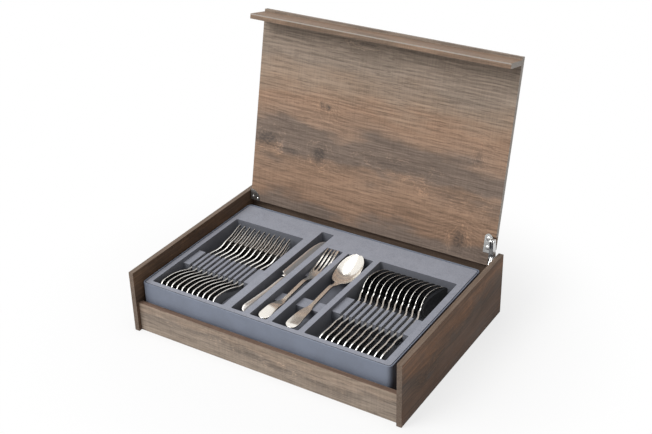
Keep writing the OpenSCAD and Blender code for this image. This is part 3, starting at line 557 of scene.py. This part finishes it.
def new_object(name, data):
    """An object of its data, in the scene."""
    made = bpy.data.objects.new(name, data)
    bpy.context.scene.collection.objects.link(made)
    return made


def as_piece(name, mesh, material, body, nodes, sharp=None):
    """Makes an object of a mesh and says what carries it, what it stands for and its finish."""
    piece = new_object(name, mesh)
    mesh.materials.clear()
    mesh.materials.append(finish(material))
    mesh.shade_smooth()
    if sharp is not None:
        mesh.set_sharp_from_angle(angle=math.radians(sharp))
        piece.modifiers.new("Even shading", "WEIGHTED_NORMAL").keep_sharp = True
    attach(piece, body)
    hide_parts(*nodes)
    return piece


def eased(node, radius, material, body, steps):
    """Stands for a CAD node with the same shape, its sharp edges rounded over."""
    form = bmesh.new()
    form.from_mesh(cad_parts[node].data)
    bmesh.ops.remove_doubles(form, verts=form.verts, dist=WELD_REACH)
    bmesh.ops.dissolve_limit(form, angle_limit=FLAT_ANGLE, verts=form.verts, edges=form.edges)
    edges = [edge for edge in form.edges
             if len(edge.link_faces) == 2 and edge.calc_face_angle(0.0) > CORNER_ANGLE]
    bmesh.ops.bevel(form, geom=edges, offset=radius, offset_type="OFFSET", segments=steps,
                    profile=0.5, affect="EDGES", clamp_overlap=True)
    mesh = bpy.data.meshes.new(node)
    form.to_mesh(mesh)
    form.free()
    return as_piece("%s.eased" % node, mesh, material, body, [node], sharp=42)


def dress(node, material):
    """Gives a CAD node that stays its finish."""
    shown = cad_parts[node]
    if not shown.material_slots:
        shown.data.materials.append(finish(material))
    for held in shown.material_slots:
        held.material = finish(material)


# ---- cutlery shapes

def swell(s, start, end):
    """Rises smoothly from 0 at start to 1 at end."""
    if s <= start:
        return 0.0
    if s >= end:
        return 1.0
    return (1 - math.cos(math.pi * (s - start) / (end - start))) / 2


def handle_rise(s, high):
    """A handle arches up from the neck and drops a little at its end."""
    return high * (1 - swell(s, HANDLE_BEND, NECK[0])) - END_DROP * (1 - swell(s, 0, 7))


def fork_rise(s):
    return (handle_rise(s, FORK_HANDLE_RISE) - FORK_DIP * swell(s, NECK[1] - 4, 140)
            + TIP_RISE * swell(s, 150, 216))


def rim_rise(s):
    return -SPOON_DIP * swell(s, NECK[1] - 4, 136) + TIP_RISE * swell(s, 148, 214)


def spoon_rise(s):
    return handle_rise(s, SPOON_HANDLE_RISE) + rim_rise(s) - 0.9 * swell(s, 120, 138)


def along(points, s):
    """Value at s of a smooth curve through (place, value) points, without overshoot."""
    if s <= points[0][0]:
        return points[0][1]
    if s >= points[-1][0]:
        return points[-1][1]
    slopes = [(b[1] - a[1]) / (b[0] - a[0]) for a, b in zip(points, points[1:])]
    ends = [slopes[0]] + [0.0 if a * b <= 0 else 2 * a * b / (a + b) for a, b in zip(slopes, slopes[1:])]
    ends.append(slopes[-1])
    i = next(k for k, point in enumerate(points[1:]) if s <= point[0])
    (start, low), (end, high) = points[i:i + 2]
    step = end - start
    t = (s - start) / step
    return ((1 + 2 * t) * (1 - t) ** 2 * low + t * (1 - t) ** 2 * step * ends[i]
            + t * t * (3 - 2 * t) * high + t * t * (t - 1) * step * ends[i + 1])


HANDLE_SIDE = ((HANDLE_HALF, HANDLE_HALF), (22, 9.3), (34, 8.3), (46, 7.1), (52, 5.9), (58, 3.9),
               (64, NECK_HALF))


def handle_half(s):
    """Half the width of a handle and neck."""
    if s < HANDLE_HALF:
        return max(1.9, math.sqrt(max(0.0, HANDLE_HALF ** 2 - (HANDLE_HALF - s) ** 2)))
    return along(HANDLE_SIDE, s)


HANDLE_PLACES = [0, 0.7, 2, 4, 7, 11, 16, 22, 28, 34, 40, 45, 49, 52, 55, 58, 61, 65, 72, 80, 90, 100,
                 108, 114, 119, 124, 129]
THICKNESS = ((0, 2.0), (8, 2.3), (40, 2.2), (56, 2.6), (66, 3.0), (108, 3.0), (122, 2.6))


def thin_solid(rows, open_cells=()):
    """Vertices and faces of a bent sheet. A row is a list of (x, y, height, thickness)."""
    width = len(rows[0])
    flat = [point for row in rows for point in row]
    verts = [(x, y, z + t / 2) for x, y, z, t in flat] + [(x, y, z - t / 2) for x, y, z, t in flat]
    under = len(flat)
    upper = []
    for i in range(len(rows) - 1):
        for j in range(width - 1):
            if (i, j) not in open_cells:
                c = i * width + j
                upper.append((c, c + 1, c + 1 + width, c + width))
    sides = {(f[k], f[(k + 1) % 4]) for f in upper for k in range(4)}
    walls = [(b, a, a + under, b + under) for a, b in sides if (b, a) not in sides]
    lower = [tuple(v + under for v in reversed(f)) for f in upper]
    return verts, upper + lower + sorted(walls)


def tine_columns():
    """Places across a fork's head, as parts of its half width, and the columns that start a gap."""
    tine = (2 * HEAD_HALF - 3 * TINE_GAP) / 4
    columns, gaps = [], []
    for i in range(4):
        left = -HEAD_HALF + i * (tine + TINE_GAP)
        columns += [left, left + tine * 0.28, left + tine * 0.72, left + tine]
        if i < 3:
            gaps.append(len(columns) - 1)
    return [c / HEAD_HALF for c in columns], gaps, tine


def fork_solid(crown):
    columns, gaps, tine = tine_columns()
    places = HANDLE_PLACES + [134, 139, 144, 149, 153, TINE_ROOT, 160, 165, 171, 177, 182, TINE_TAPER,
                              192, 197, 201, PIECE_LONG]
    head = ((119, NECK_HALF), (130, 4.2), (140, 7.5), (149, 10.4), (158, HEAD_HALF),
            (PIECE_LONG, HEAD_HALF))
    thick = THICKNESS + ((140, 2.2), (157, 1.9), (187, 1.7), (PIECE_LONG, 1.0))
    rows = []
    for s in places:
        half = handle_half(s) if s < 119 else along(head, s)
        row = []
        for u in columns:
            x = u * half
            if s > TINE_TAPER:
                k = min(3, int((u + 1) * HEAD_HALF / (tine + TINE_GAP)))
                middle = -HEAD_HALF + tine / 2 + k * (tine + TINE_GAP)
                keep = 1 - (1 - 1.6 / tine) * (s - TINE_TAPER) / (PIECE_LONG - TINE_TAPER)
                x = middle + (x - middle) * keep
            lift = crown * (1 - u * u) * (1 - swell(s, 52, 62)) * swell(s, 0, 6)
            dish = -1.0 * (1 - u * u) * swell(s, 132, 150) * (1 - swell(s, 160, 200))
            row.append((x, s, fork_rise(s) + dish, along(thick, s) + 2 * lift))
        rows.append(row)
    first_gap_row = places.index(TINE_ROOT)
    open_cells = {(i, j) for i in range(first_gap_row, len(places) - 1) for j in gaps}
    return thin_solid(rows, open_cells)


def spoon_solid(crown):
    across = [-1, -0.94, -0.82, -0.62, -0.34, 0, 0.34, 0.62, 0.82, 0.94, 1]
    first = BOWL_START_ANGLE

    def bowl_place(a):
        return BOWL_FROM + BOWL_LONG * ((1 - math.cos(math.radians(a))) / 2) ** BOWL_FULLNESS

    def bowl_dip(a):
        return BOWL_DEEP * math.sin(math.radians(a)) ** 1.6

    rows = []
    thick = THICKNESS + ((136, 2.0), (146, 1.3), (160, 1.1))
    heel = ((119, NECK_HALF), (127, 3.2), (132, 3.7), (135.5, 4.6),
            (bowl_place(first), BOWL_HALF * math.sin(math.radians(first))))
    for s in HANDLE_PLACES + [132, 134.5, 136.5]:
        half = handle_half(s) if s < 119 else along(heel, s)
        dip = bowl_dip(first * swell(s, 126, bowl_place(first)))
        rise = spoon_rise(s) + 0.35 * swell(s, 129, 137.5)
        lift = 1 - swell(s, 52, 62)
        rows.append([(u * half, s, rise - dip * (1 - u * u),
                      along(thick, s) + 2 * crown * lift * (1 - u * u) * swell(s, 0, 6)) for u in across])
    for a in range(first, first + 160, 8):
        s = bowl_place(a)
        half = BOWL_HALF * math.sin(math.radians(a))
        rows.append([(u * half, s, rim_rise(s) - 0.55 - bowl_dip(a) * (1 - u * u), along(thick, s))
                     for u in across])
    return thin_solid(rows)


def loft(rings):
    """A closed skin over rings of as many points each, capped at both ends."""
    count = len(rings[0])
    verts = [point for ring in rings for point in ring]
    faces = []
    for i in range(len(rings) - 1):
        for k in range(count):
            n = (k + 1) % count
            faces.append((i * count + k, i * count + n, (i + 1) * count + n, (i + 1) * count + k))
    faces.append(tuple(reversed(range(count))))
    last = (len(rings) - 1) * count
    faces.append(tuple(last + k for k in range(count)))
    return verts, faces


def oval_ring(s, half, thick, count=20, square=0.8):
    """An oval across a knife at s, half wide each way and as thick as given."""
    ring = []
    for k in range(count):
        a = 2 * math.pi * k / count
        c, n = math.cos(a), math.sin(a)
        ring.append((half * math.copysign(abs(c) ** square, c), s,
                     -thick / 2 * math.copysign(abs(n) ** square, n)))
    return ring


def blade_ring(s, edge, spine):
    """A blade's section from its edge to its spine, ground thin towards the edge."""
    wide = spine - edge
    upper = [(spine, 0.75), (spine - 0.03 * wide, 1.0), (spine - 0.3 * wide, 0.95),
             (edge + 0.35 * wide, 0.75), (edge + 0.06 * wide, 0.28), (edge, 0.12)]
    return [(x, s, -z) for x, z in upper] + [(x, s, z) for x, z in reversed(upper)]


def knife_solids():
    """Handle, bolster and blade of a knife, its spine towards +X."""
    end = BOLSTER - 4
    butt = KNIFE_END_HALF
    half = ((butt, butt), (20, 8.7), (34, 7.6), (66, 5.4), (end, 4.6))
    thick = ((0, 3.6), (6, 6.2), (14, 7.0), (40, 7.0), (end, 5.4))
    handle = []
    for s in (0, 0.5, 1.6, 3.4, 6, 9.5, 14, 20, 27, 34, 44, 55, 66, 80, 94, end):
        wide = max(1.6, math.sqrt(butt ** 2 - (butt - s) ** 2)) if s < butt else along(half, s)
        handle.append(oval_ring(s, wide, along(thick, s)))
    collar = [oval_ring(BOLSTER + s, 6 - f, 8 - 2 * f) for s, f in (
        (-5.4, 1.3), (-5.1, 0.5), (-4.6, 0.1), (-3.8, 0.0), (-1.2, 0.0), (-0.4, 0.1), (0.1, 0.5), (0.4, 1.3))]
    edge = ((BOLSTER - 2, -6.6), (BOLSTER + 4, -8.6), (BOLSTER + 14, -10), (185, -10), (200, -9.1),
            (212, -7.2), (222, -4.2), (KNIFE_LONG, -0.6))
    spine = ((BOLSTER - 2, 10), (180, 10), (198, 9.3), (214, 7.2), (224, 4.4), (KNIFE_LONG, 0.6))
    places = [BOLSTER + s for s in (-1, 2, 6, 12, 22, 36, 50, 62)]
    places += [183, 192, 200, 207, 213, 218, 222, 225.5, 228, 229.4, KNIFE_LONG]
    blade = [blade_ring(s, along(edge, s), along(spine, s)) for s in places]
    return [loft(handle), loft(collar), loft(blade)]


def joined(solids):
    """One list of vertices and one of faces from several solids."""
    verts, faces = [], []
    for points, cells in solids:
        start = len(verts)
        verts += points
        faces += [tuple(v + start for v in cell) for cell in cells]
    return verts, faces


def shape_mesh(name, solid, move):
    """A mesh in metres from a solid in millimetres, after the move that lays it in its place."""
    verts, faces = solid
    mesh = bpy.data.meshes.new(name)
    mesh.from_pydata([tuple(move @ Vector(v) * MM) for v in verts], [], faces)
    form = bmesh.new()
    form.from_mesh(mesh)
    loose = [v for v in form.verts if not v.link_faces]
    bmesh.ops.delete(form, geom=loose, context="VERTS")
    bmesh.ops.recalc_face_normals(form, faces=form.faces)
    form.to_mesh(mesh)
    form.free()
    return mesh


def in_tray(x, y, z, turn):
    """The move from a piece's own frame to its place, counted from the tray's left front corner."""
    angles = Euler([math.radians(a) for a in turn], "XYZ")
    return Matrix.Translation((TRAY[0] + x, TRAY[1] + y, z)) @ angles.to_matrix().to_4x4()


def rounded(piece, levels):
    curve = piece.modifiers.new("Rounded edges", "SUBSURF")
    curve.levels = levels
    curve.render_levels = levels


def smooth_piece(name, solid, move, levels, material):
    """A piece of cutlery on the body of its own name."""
    mesh = shape_mesh(name, solid, move)
    rounded(as_piece("%s.polished" % name, mesh, material, name, [name]), levels)


# ---- Geometry Nodes

def run_nodes(name, mesh, group, values):
    """Runs a geometry group on a mesh with these inputs and returns the plain mesh it makes."""
    tree = bpy.data.node_groups[group]
    carrier = new_object(name, mesh)
    nodes = carrier.modifiers.new("Nodes", "NODES")
    nodes.node_group = tree
    for item in tree.interface.items_tree:
        if item.item_type == "SOCKET" and item.in_out == "INPUT" and item.name in values:
            nodes[item.identifier] = values[item.name]
    bpy.context.view_layer.update()
    ready = carrier.evaluated_get(bpy.context.evaluated_depsgraph_get())
    made = bpy.data.meshes.new_from_object(ready)
    made.name = name
    bpy.data.objects.remove(carrier)
    if not made.polygons:
        raise RuntimeError("The node tree made nothing for %s" % name)
    return made


def moved(n, mesh_node, **how):
    """What a mesh node makes, after a Translation or a Scale."""
    return n.add("GeometryNodeTransform", {"Geometry": mesh_node.outputs["Mesh"], **how}).outputs["Geometry"]


def hand_out(n, given, result, placing):
    """Puts instances on points, makes them real, gives them their material and hands them out."""
    placed = n.add("GeometryNodeInstanceOnPoints", placing)
    real = n.add("GeometryNodeRealizeInstances", {"Geometry": placed.outputs["Instances"]})
    done = n.add("GeometryNodeSetMaterial", {
        "Geometry": real.outputs["Geometry"], "Material": given["Material"]})
    n.feed(result, {"Geometry": done.outputs["Geometry"]})


def build_screw_tree():
    """Cross-head screws on the points of a mesh, each turned a little differently."""
    n, given, result = new_group("Screws", {
        "Geometry": GEOMETRY, "Head Width": 0.007, "Head Height": 0.002, "Shank Width": 0.003,
        "Shank Length": 0.006, "Slot": 0.0009, "Direction": "NodeSocketRotation", "Seed": 3,
        "Material": MATERIAL}, ["Geometry"], "GeometryNodeTree", GEOMETRY)
    width, height, slot, length = (given[name] for name in (
        "Head Width", "Head Height", "Slot", "Shank Length"))
    half = n.times(width, 0.5)
    dome = n.add("GeometryNodeMeshUVSphere", {"Segments": 32, "Rings": 24, "Radius": 1.0})
    head = moved(n, dome, Scale=n.combine(half, half, height))
    # the part of the dome below the plate goes
    below = n.add("GeometryNodeMeshCube", {"Size": (0.03, 0.03, 0.03)})
    cutters = [moved(n, below, Translation=(0, 0, -0.015))]
    depth, long = n.times(height, 1.1), n.times(width, 0.62)
    for x, y in ((long, slot), (slot, long)):
        bar = n.add("GeometryNodeMeshCube", {"Size": n.combine(x, y, depth)})
        cutters.append(moved(n, bar, Translation=n.combine(z=height)))
    cut = n.add("GeometryNodeMeshBoolean", {"Mesh 1": head}, operation="DIFFERENCE")
    for cutter in cutters:
        n.wire(cut.inputs["Mesh 2"], cutter)
    shank = n.add("GeometryNodeMeshCylinder", {
        "Vertices": 20, "Radius": n.times(given["Shank Width"], 0.5), "Depth": length})
    sunk = moved(n, shank, Translation=n.combine(z=n.times(length, -0.495)))
    screw = n.add("GeometryNodeJoinGeometry")
    for form in (cut.outputs["Mesh"], sunk):
        n.wire(screw.inputs["Geometry"], form)
    spin = n.add("FunctionNodeRandomValue", {"Seed": given["Seed"], 2: 0.0, 3: math.pi}, data_type="FLOAT")
    turned = n.add("FunctionNodeAxisAngleToRotation", {"Axis": (0, 0, 1), "Angle": spin.outputs[1]})
    facing = n.add("FunctionNodeRotateRotation", {
        "Rotation": given["Direction"], "Rotate By": turned.outputs["Rotation"]}, rotation_space="LOCAL")
    hand_out(n, given, result, {
        "Points": given["Geometry"], "Instance": screw.outputs["Geometry"],
        "Rotation": facing.outputs["Rotation"]})


def build_row_tree():
    """Copies of a piece in a straight row."""
    n, given, result = new_group("Row of pieces", {
        "Geometry": GEOMETRY, "Count": 11, "Pitch": 0.015, "Material": MATERIAL},
        ["Geometry"], "GeometryNodeTree", GEOMETRY)
    line = n.add("GeometryNodeMeshLine", {"Count": given["Count"], "Offset": n.combine(given["Pitch"])})
    hand_out(n, given, result, {"Points": line.outputs["Mesh"], "Instance": given["Geometry"]})


SCREW_SIZES = ("Head Width", "Head Height", "Shank Width", "Shank Length", "Slot")
TURN_OPEN = Matrix.Rotation(-OPEN, 3, "X")


def on_lid(point):
    """A point drawn on the closed lid, counted from the hinge axis, at the open lid's place."""
    return Vector(AXIS) + TURN_OPEN @ Vector(point)


def screws(node, points, direction, body, *sizes):
    """Screws at points in millimetres, their heads towards direction, as one piece.

    The sizes are those of SCREW_SIZES, in its order and in millimetres.
    """
    mesh = bpy.data.meshes.new(node)
    mesh.from_pydata([tuple(Vector(p) * MM) for p in points], [], [])
    facing = Vector((0, 0, 1)).rotation_difference(Vector(direction)).to_euler()
    values = {label: size * MM for label, size in zip(SCREW_SIZES, sizes)}
    values.update({"Direction": facing, "Seed": len(node), "Material": finish("steel.screws")})
    made = run_nodes("%s.heads" % node, mesh, "Screws", values)
    as_piece("%s.heads" % node, made, "steel.screws", body, [node], sharp=35)


# ---- operators

class ChestPiece(bpy.types.Operator):
    """Makes pieces of the chest."""
    bl_options = {"REGISTER", "UNDO"}

    def execute(self, context):
        self.make(context)
        return {"FINISHED"}


class EasedPieces(ChestPiece):
    """Stands for CAD nodes with their sharp edges rounded by one of the settings' radii."""
    steps = 2

    def make(self, context):
        for node, material, body, slot in self.pieces:
            eased(node, getattr(settings(), self.radius), material, body, self.steps)


class CHEST_OT_finishes(ChestPiece):
    """Builds the wood, plastic, flock and steel finishes."""
    bl_idname = "chest.finishes"
    bl_label = "Finishes"

    def make(self, context):
        for build in (build_grain_group, build_knot_group, build_edge_band_group, build_flock_group,
                      build_upward_group, build_polish_group, build_woods, build_beech, build_plastic,
                      build_steels):
            build()
        build_flock("flock.lower", LOWER_FLOCK_TOP)
        build_flock("flock.upper", UPPER_FLOCK_TOP)


class CHEST_OT_boards(EasedPieces):
    """Eases the edges of the case's boards and gives them their printed wood."""
    bl_idname = "chest.boards"
    bl_label = "Case boards"
    radius = "board_round"
    pieces = (
        ("left_side", "wood.left", "case", "dark_wood"),
        ("right_side", "wood.right", "case", "dark_wood"),
        ("front_board", "wood.front", "case", "pale_wood"),
        ("back_board", "wood.back", "case", "warm_wood"),
        ("bottom_panel", "wood.bottom", "case", "warm_wood"))

    def make(self, context):
        super().make(context)
        for node in ("case_dowels", "bottom_dowels", "strip_dowels"):
            dress(node, "wood.dowels")


class CHEST_OT_lid(EasedPieces):
    """Eases the edges of the lid and its strip and gives them their printed wood."""
    bl_idname = "chest.lid"
    bl_label = "Lid"
    radius = "board_round"
    pieces = (
        ("lid_panel", "wood.lid", "lid", "warm_wood"),
        ("lid_front_strip", "wood.strip", "lid", "pale_wood"))


class CHEST_OT_fittings(EasedPieces):
    """Makes the left pivot, the stay and their screws."""
    bl_idname = "chest.fittings"
    bl_label = "Pivots and stay"
    radius = "plate_round"
    pieces = (
        ("left_corner_plate", "steel.dark", "lid", "dark_steel"),
        ("left_pivot_pin", "steel.screws", "case", "bright_steel"),
        ("stay_lid_plate", "steel.plates", "lid", "bright_steel"),
        ("stay_lid_leaves", "steel.plates", "lid", "bright_steel"),
        ("stay_lid_rivet", "steel.dark", "lid", "dark_steel"),
        ("stay_case_plate", "steel.dark", "case", "dark_steel"),
        ("stay_case_leaves", "steel.plates", "case", "bright_steel"),
        ("stay_case_rivet", "steel.dark", "case", "dark_steel"),
        ("stay_pivot_pin", "steel.screws", "case", "bright_steel"))

    def make(self, context):
        super().make(context)
        build_screw_tree()
        down = TURN_OPEN @ Vector((0, 0, -1))
        screws("stay_lid_screws", [on_lid(place) for place in STAY_LID_SCREWS], down, "lid",
               7.0, 2.0, 3.0, 6.0, 1.0)
        screws("left_corner_screws", [on_lid(place) for place in LEFT_CORNER_SCREWS], down, "lid",
               3.4, 0.7, 1.8, 4.0, 0.5)
        screws("stay_case_screws", [Vector(AXIS) + Vector(place) for place in STAY_CASE_SCREWS],
               (-1, 0, 0), "case", 5.6, 1.3, 3.0, 6.0, 0.8)


class CHEST_OT_trays(EasedPieces):
    """Rounds the rims of the two plastic trays."""
    bl_idname = "chest.trays"
    bl_label = "Trays"
    radius = "tray_round"
    steps = 3
    pieces = (
        ("lower_tray", "tray.plastic", "case", "tray_plastic"),
        ("upper_tray", "tray.plastic", "upper_tray", "tray_plastic"))


class CHEST_OT_inserts(EasedPieces):
    """Rounds the edges of the flocked inserts."""
    bl_idname = "chest.inserts"
    bl_label = "Flocked inserts"
    radius = "flock_round"
    steps = 3
    pieces = (
        ("lower_insert", "flock.lower", "case", "flock"),
        ("upper_insert", "flock.upper", "upper_tray", "flock"))


def standing_row(kind, start, turn, shape):
    """A row of forks or spoons that stand on edge, from the tray's left."""
    for i in range(ROW_COUNT):
        move = in_tray(start + i * ROW_PITCH, ROW_START, ROW_HEIGHT, (0, turn, 0))
        smooth_piece("%s_%02d" % (kind, i + 1), shape, move, 1, "steel.rows")


class CHEST_OT_forks(ChestPiece):
    """Makes the forks of the row and the one that lies by itself."""
    bl_idname = "chest.forks"
    bl_label = "Forks"

    def make(self, context):
        shape = fork_solid(settings().handle_crown / MM)
        standing_row("fork", FORK_ROW, -90, shape)
        smooth_piece("display_fork", shape, in_tray(*SINGLE_FORK), 2, "steel.singles")


class CHEST_OT_spoons(ChestPiece):
    """Makes the spoons of the row and the one that lies by itself."""
    bl_idname = "chest.spoons"
    bl_label = "Spoons"

    def make(self, context):
        shape = spoon_solid(settings().handle_crown / MM)
        standing_row("spoon", SPOON_ROW, 90, shape)
        smooth_piece("display_spoon", shape, in_tray(*SINGLE_SPOON), 2, "steel.singles")


class CHEST_OT_knives(ChestPiece):
    """Makes the knife that lies by itself and the row of knives in the lower tray."""
    bl_idname = "chest.knives"
    bl_label = "Knives"

    def make(self, context):
        shape = joined(knife_solids())
        smooth_piece("display_knife", shape, in_tray(*SINGLE_KNIFE), 2, "steel.knife")
        build_row_tree()
        first = shape_mesh("lower_knife", shape, in_tray(*FIRST_LOWER_KNIFE))
        row = run_nodes("lower_knives.row", first, "Row of pieces", {
            "Count": ROW_COUNT, "Pitch": KNIFE_PITCH * MM, "Material": finish("steel.rows")})
        rounded(as_piece("lower_knives.polished", row, "steel.rows", "case",
                         ["lower_knives"]), 1)


EYE = (0.7913, -1.2230, 0.9981)
LOOK = (-0.46643, 0.73718, -0.48888)
ROLL = -1.39
LENS = 63.26
# A lamp's name, its place and size in metres, and its power in watts
LAMPS = (("Key light", (-1.0, -1.7, 2.1), 1.5, 53.0), ("Fill light", (1.6, -1.2, 1.4), 1.6, 1.5),
         ("Top light", (-0.1, 0.1, 2.5), 1.4, 20.0))
FLOOR_REACH = 7.0
FLOOR_DROP = 0.0004


def white_rays(n):
    """1 for the rays that see the backdrop white: the camera's, and those off or through shiny matter."""
    path = n.add("ShaderNodeLightPath").outputs
    seen = n.maths("MAXIMUM", path["Is Camera Ray"], path["Is Glossy Ray"])
    return n.maths("MAXIMUM", seen, path["Is Transmission Ray"])


def emptied(owner):
    """The nodes of a material or world, with none in them yet."""
    owner.use_nodes = True
    owner.node_tree.nodes.clear()
    return Nodes(owner.node_tree)


class CHEST_OT_stage(ChestPiece):
    """Sets up the floor, the soft lights and the camera."""
    bl_idname = "chest.stage"
    bl_label = "Studio"

    def make(self, context):
        self.floor()
        self.sky()
        for lamp in LAMPS:
            self.lamp(*lamp)
        self.camera(context.scene)
        context.scene.view_settings.view_transform = "Standard"

    def floor(self):
        mesh = bpy.data.meshes.new("Floor")
        corners = ((-1, -1), (1, -1), (1, 1), (-1, 1))
        mesh.from_pydata([(x * FLOOR_REACH, y * FLOOR_REACH, -FLOOR_DROP) for x, y in corners],
                         [], [(0, 1, 2, 3)])
        floor = new_object("Floor", mesh)
        material = bpy.data.materials.new("Floor")
        n = emptied(material)
        soft = n.add("ShaderNodeBsdfDiffuse", {"Color": settings().floor_colour[:]})
        bright = n.add("ShaderNodeEmission", {"Color": (1.0, 1.0, 1.0), "Strength": 1.0})
        away = n.vector_maths("LENGTH", n.coordinate("Object"))
        share = n.times(white_rays(n), n.fade(away, 0.26, 0.5, 0.75, 1.0))
        mixed = n.add("ShaderNodeMixShader", {0: share, 1: soft.outputs[0], 2: bright.outputs[0]})
        n.add("ShaderNodeOutputMaterial", {"Surface": mixed.outputs[0]})
        mesh.materials.append(material)

    def sky(self):
        world = bpy.data.worlds.new("Studio")
        bpy.context.scene.world = world
        n = emptied(world)
        strength = n.maths("ADD", n.times(white_rays(n), 0.73), 0.27)
        back = n.add("ShaderNodeBackground", {"Color": (1.0, 1.0, 1.0), "Strength": strength})
        n.add("ShaderNodeOutputWorld", {"Surface": back.outputs[0]})

    def lamp(self, name, place, size, power):
        light = bpy.data.lights.new(name, "AREA")
        light.shape = "SQUARE"
        light.size = size
        light.energy = power
        lamp = new_object(name, light)
        lamp.location = place
        lamp.rotation_euler = (Vector((0, 0, 0.1)) - Vector(place)).to_track_quat("-Z", "Y").to_euler()

    def camera(self, scene):
        look = Vector(LOOK).normalized()
        level = look.cross(Vector((0, 0, 1))).normalized()
        rise = level.cross(look)
        turn = math.radians(ROLL)
        right = level * math.cos(turn) + rise * math.sin(turn)
        up = right.cross(look)
        data = bpy.data.cameras.new("Camera")
        data.sensor_width = 36.0
        data.lens = LENS
        data.clip_end = 50.0
        camera = new_object("Camera", data)
        camera.matrix_world = Matrix.Translation(EYE) @ Matrix((right, up, -look)).transposed().to_4x4()
        scene.camera = camera


class CHEST_PT_panel(bpy.types.Panel):
    """Lists the chest's pieces and its settings."""
    bl_label = "Silverware chest"
    bl_idname = "CHEST_PT_panel"
    bl_space_type = "VIEW_3D"
    bl_region_type = "UI"
    bl_category = "Chest"

    def draw(self, context):
        column = self.layout.column(align=True)
        for operator in OPERATORS:
            column.operator(operator.bl_idname)
        column = self.layout.column()
        for name in ChestSettings.__annotations__:
            column.prop(context.scene.chest, name)


OPERATORS = (CHEST_OT_finishes, CHEST_OT_boards, CHEST_OT_lid, CHEST_OT_fittings, CHEST_OT_trays,
             CHEST_OT_inserts, CHEST_OT_forks, CHEST_OT_spoons, CHEST_OT_knives, CHEST_OT_stage)
CLASSES = (ChestSettings,) + OPERATORS + (CHEST_PT_panel,)


def register():
    for made in CLASSES:
        bpy.utils.register_class(made)
    bpy.types.Scene.chest = bpy.props.PointerProperty(type=ChestSettings)


def unregister():
    del bpy.types.Scene.chest
    for made in reversed(CLASSES):
        bpy.utils.unregister_class(made)


def main():
    register()
    for operator in OPERATORS:
        getattr(bpy.ops.chest, operator.bl_idname.split(".")[1])()


if __name__ == "__main__":
    main()
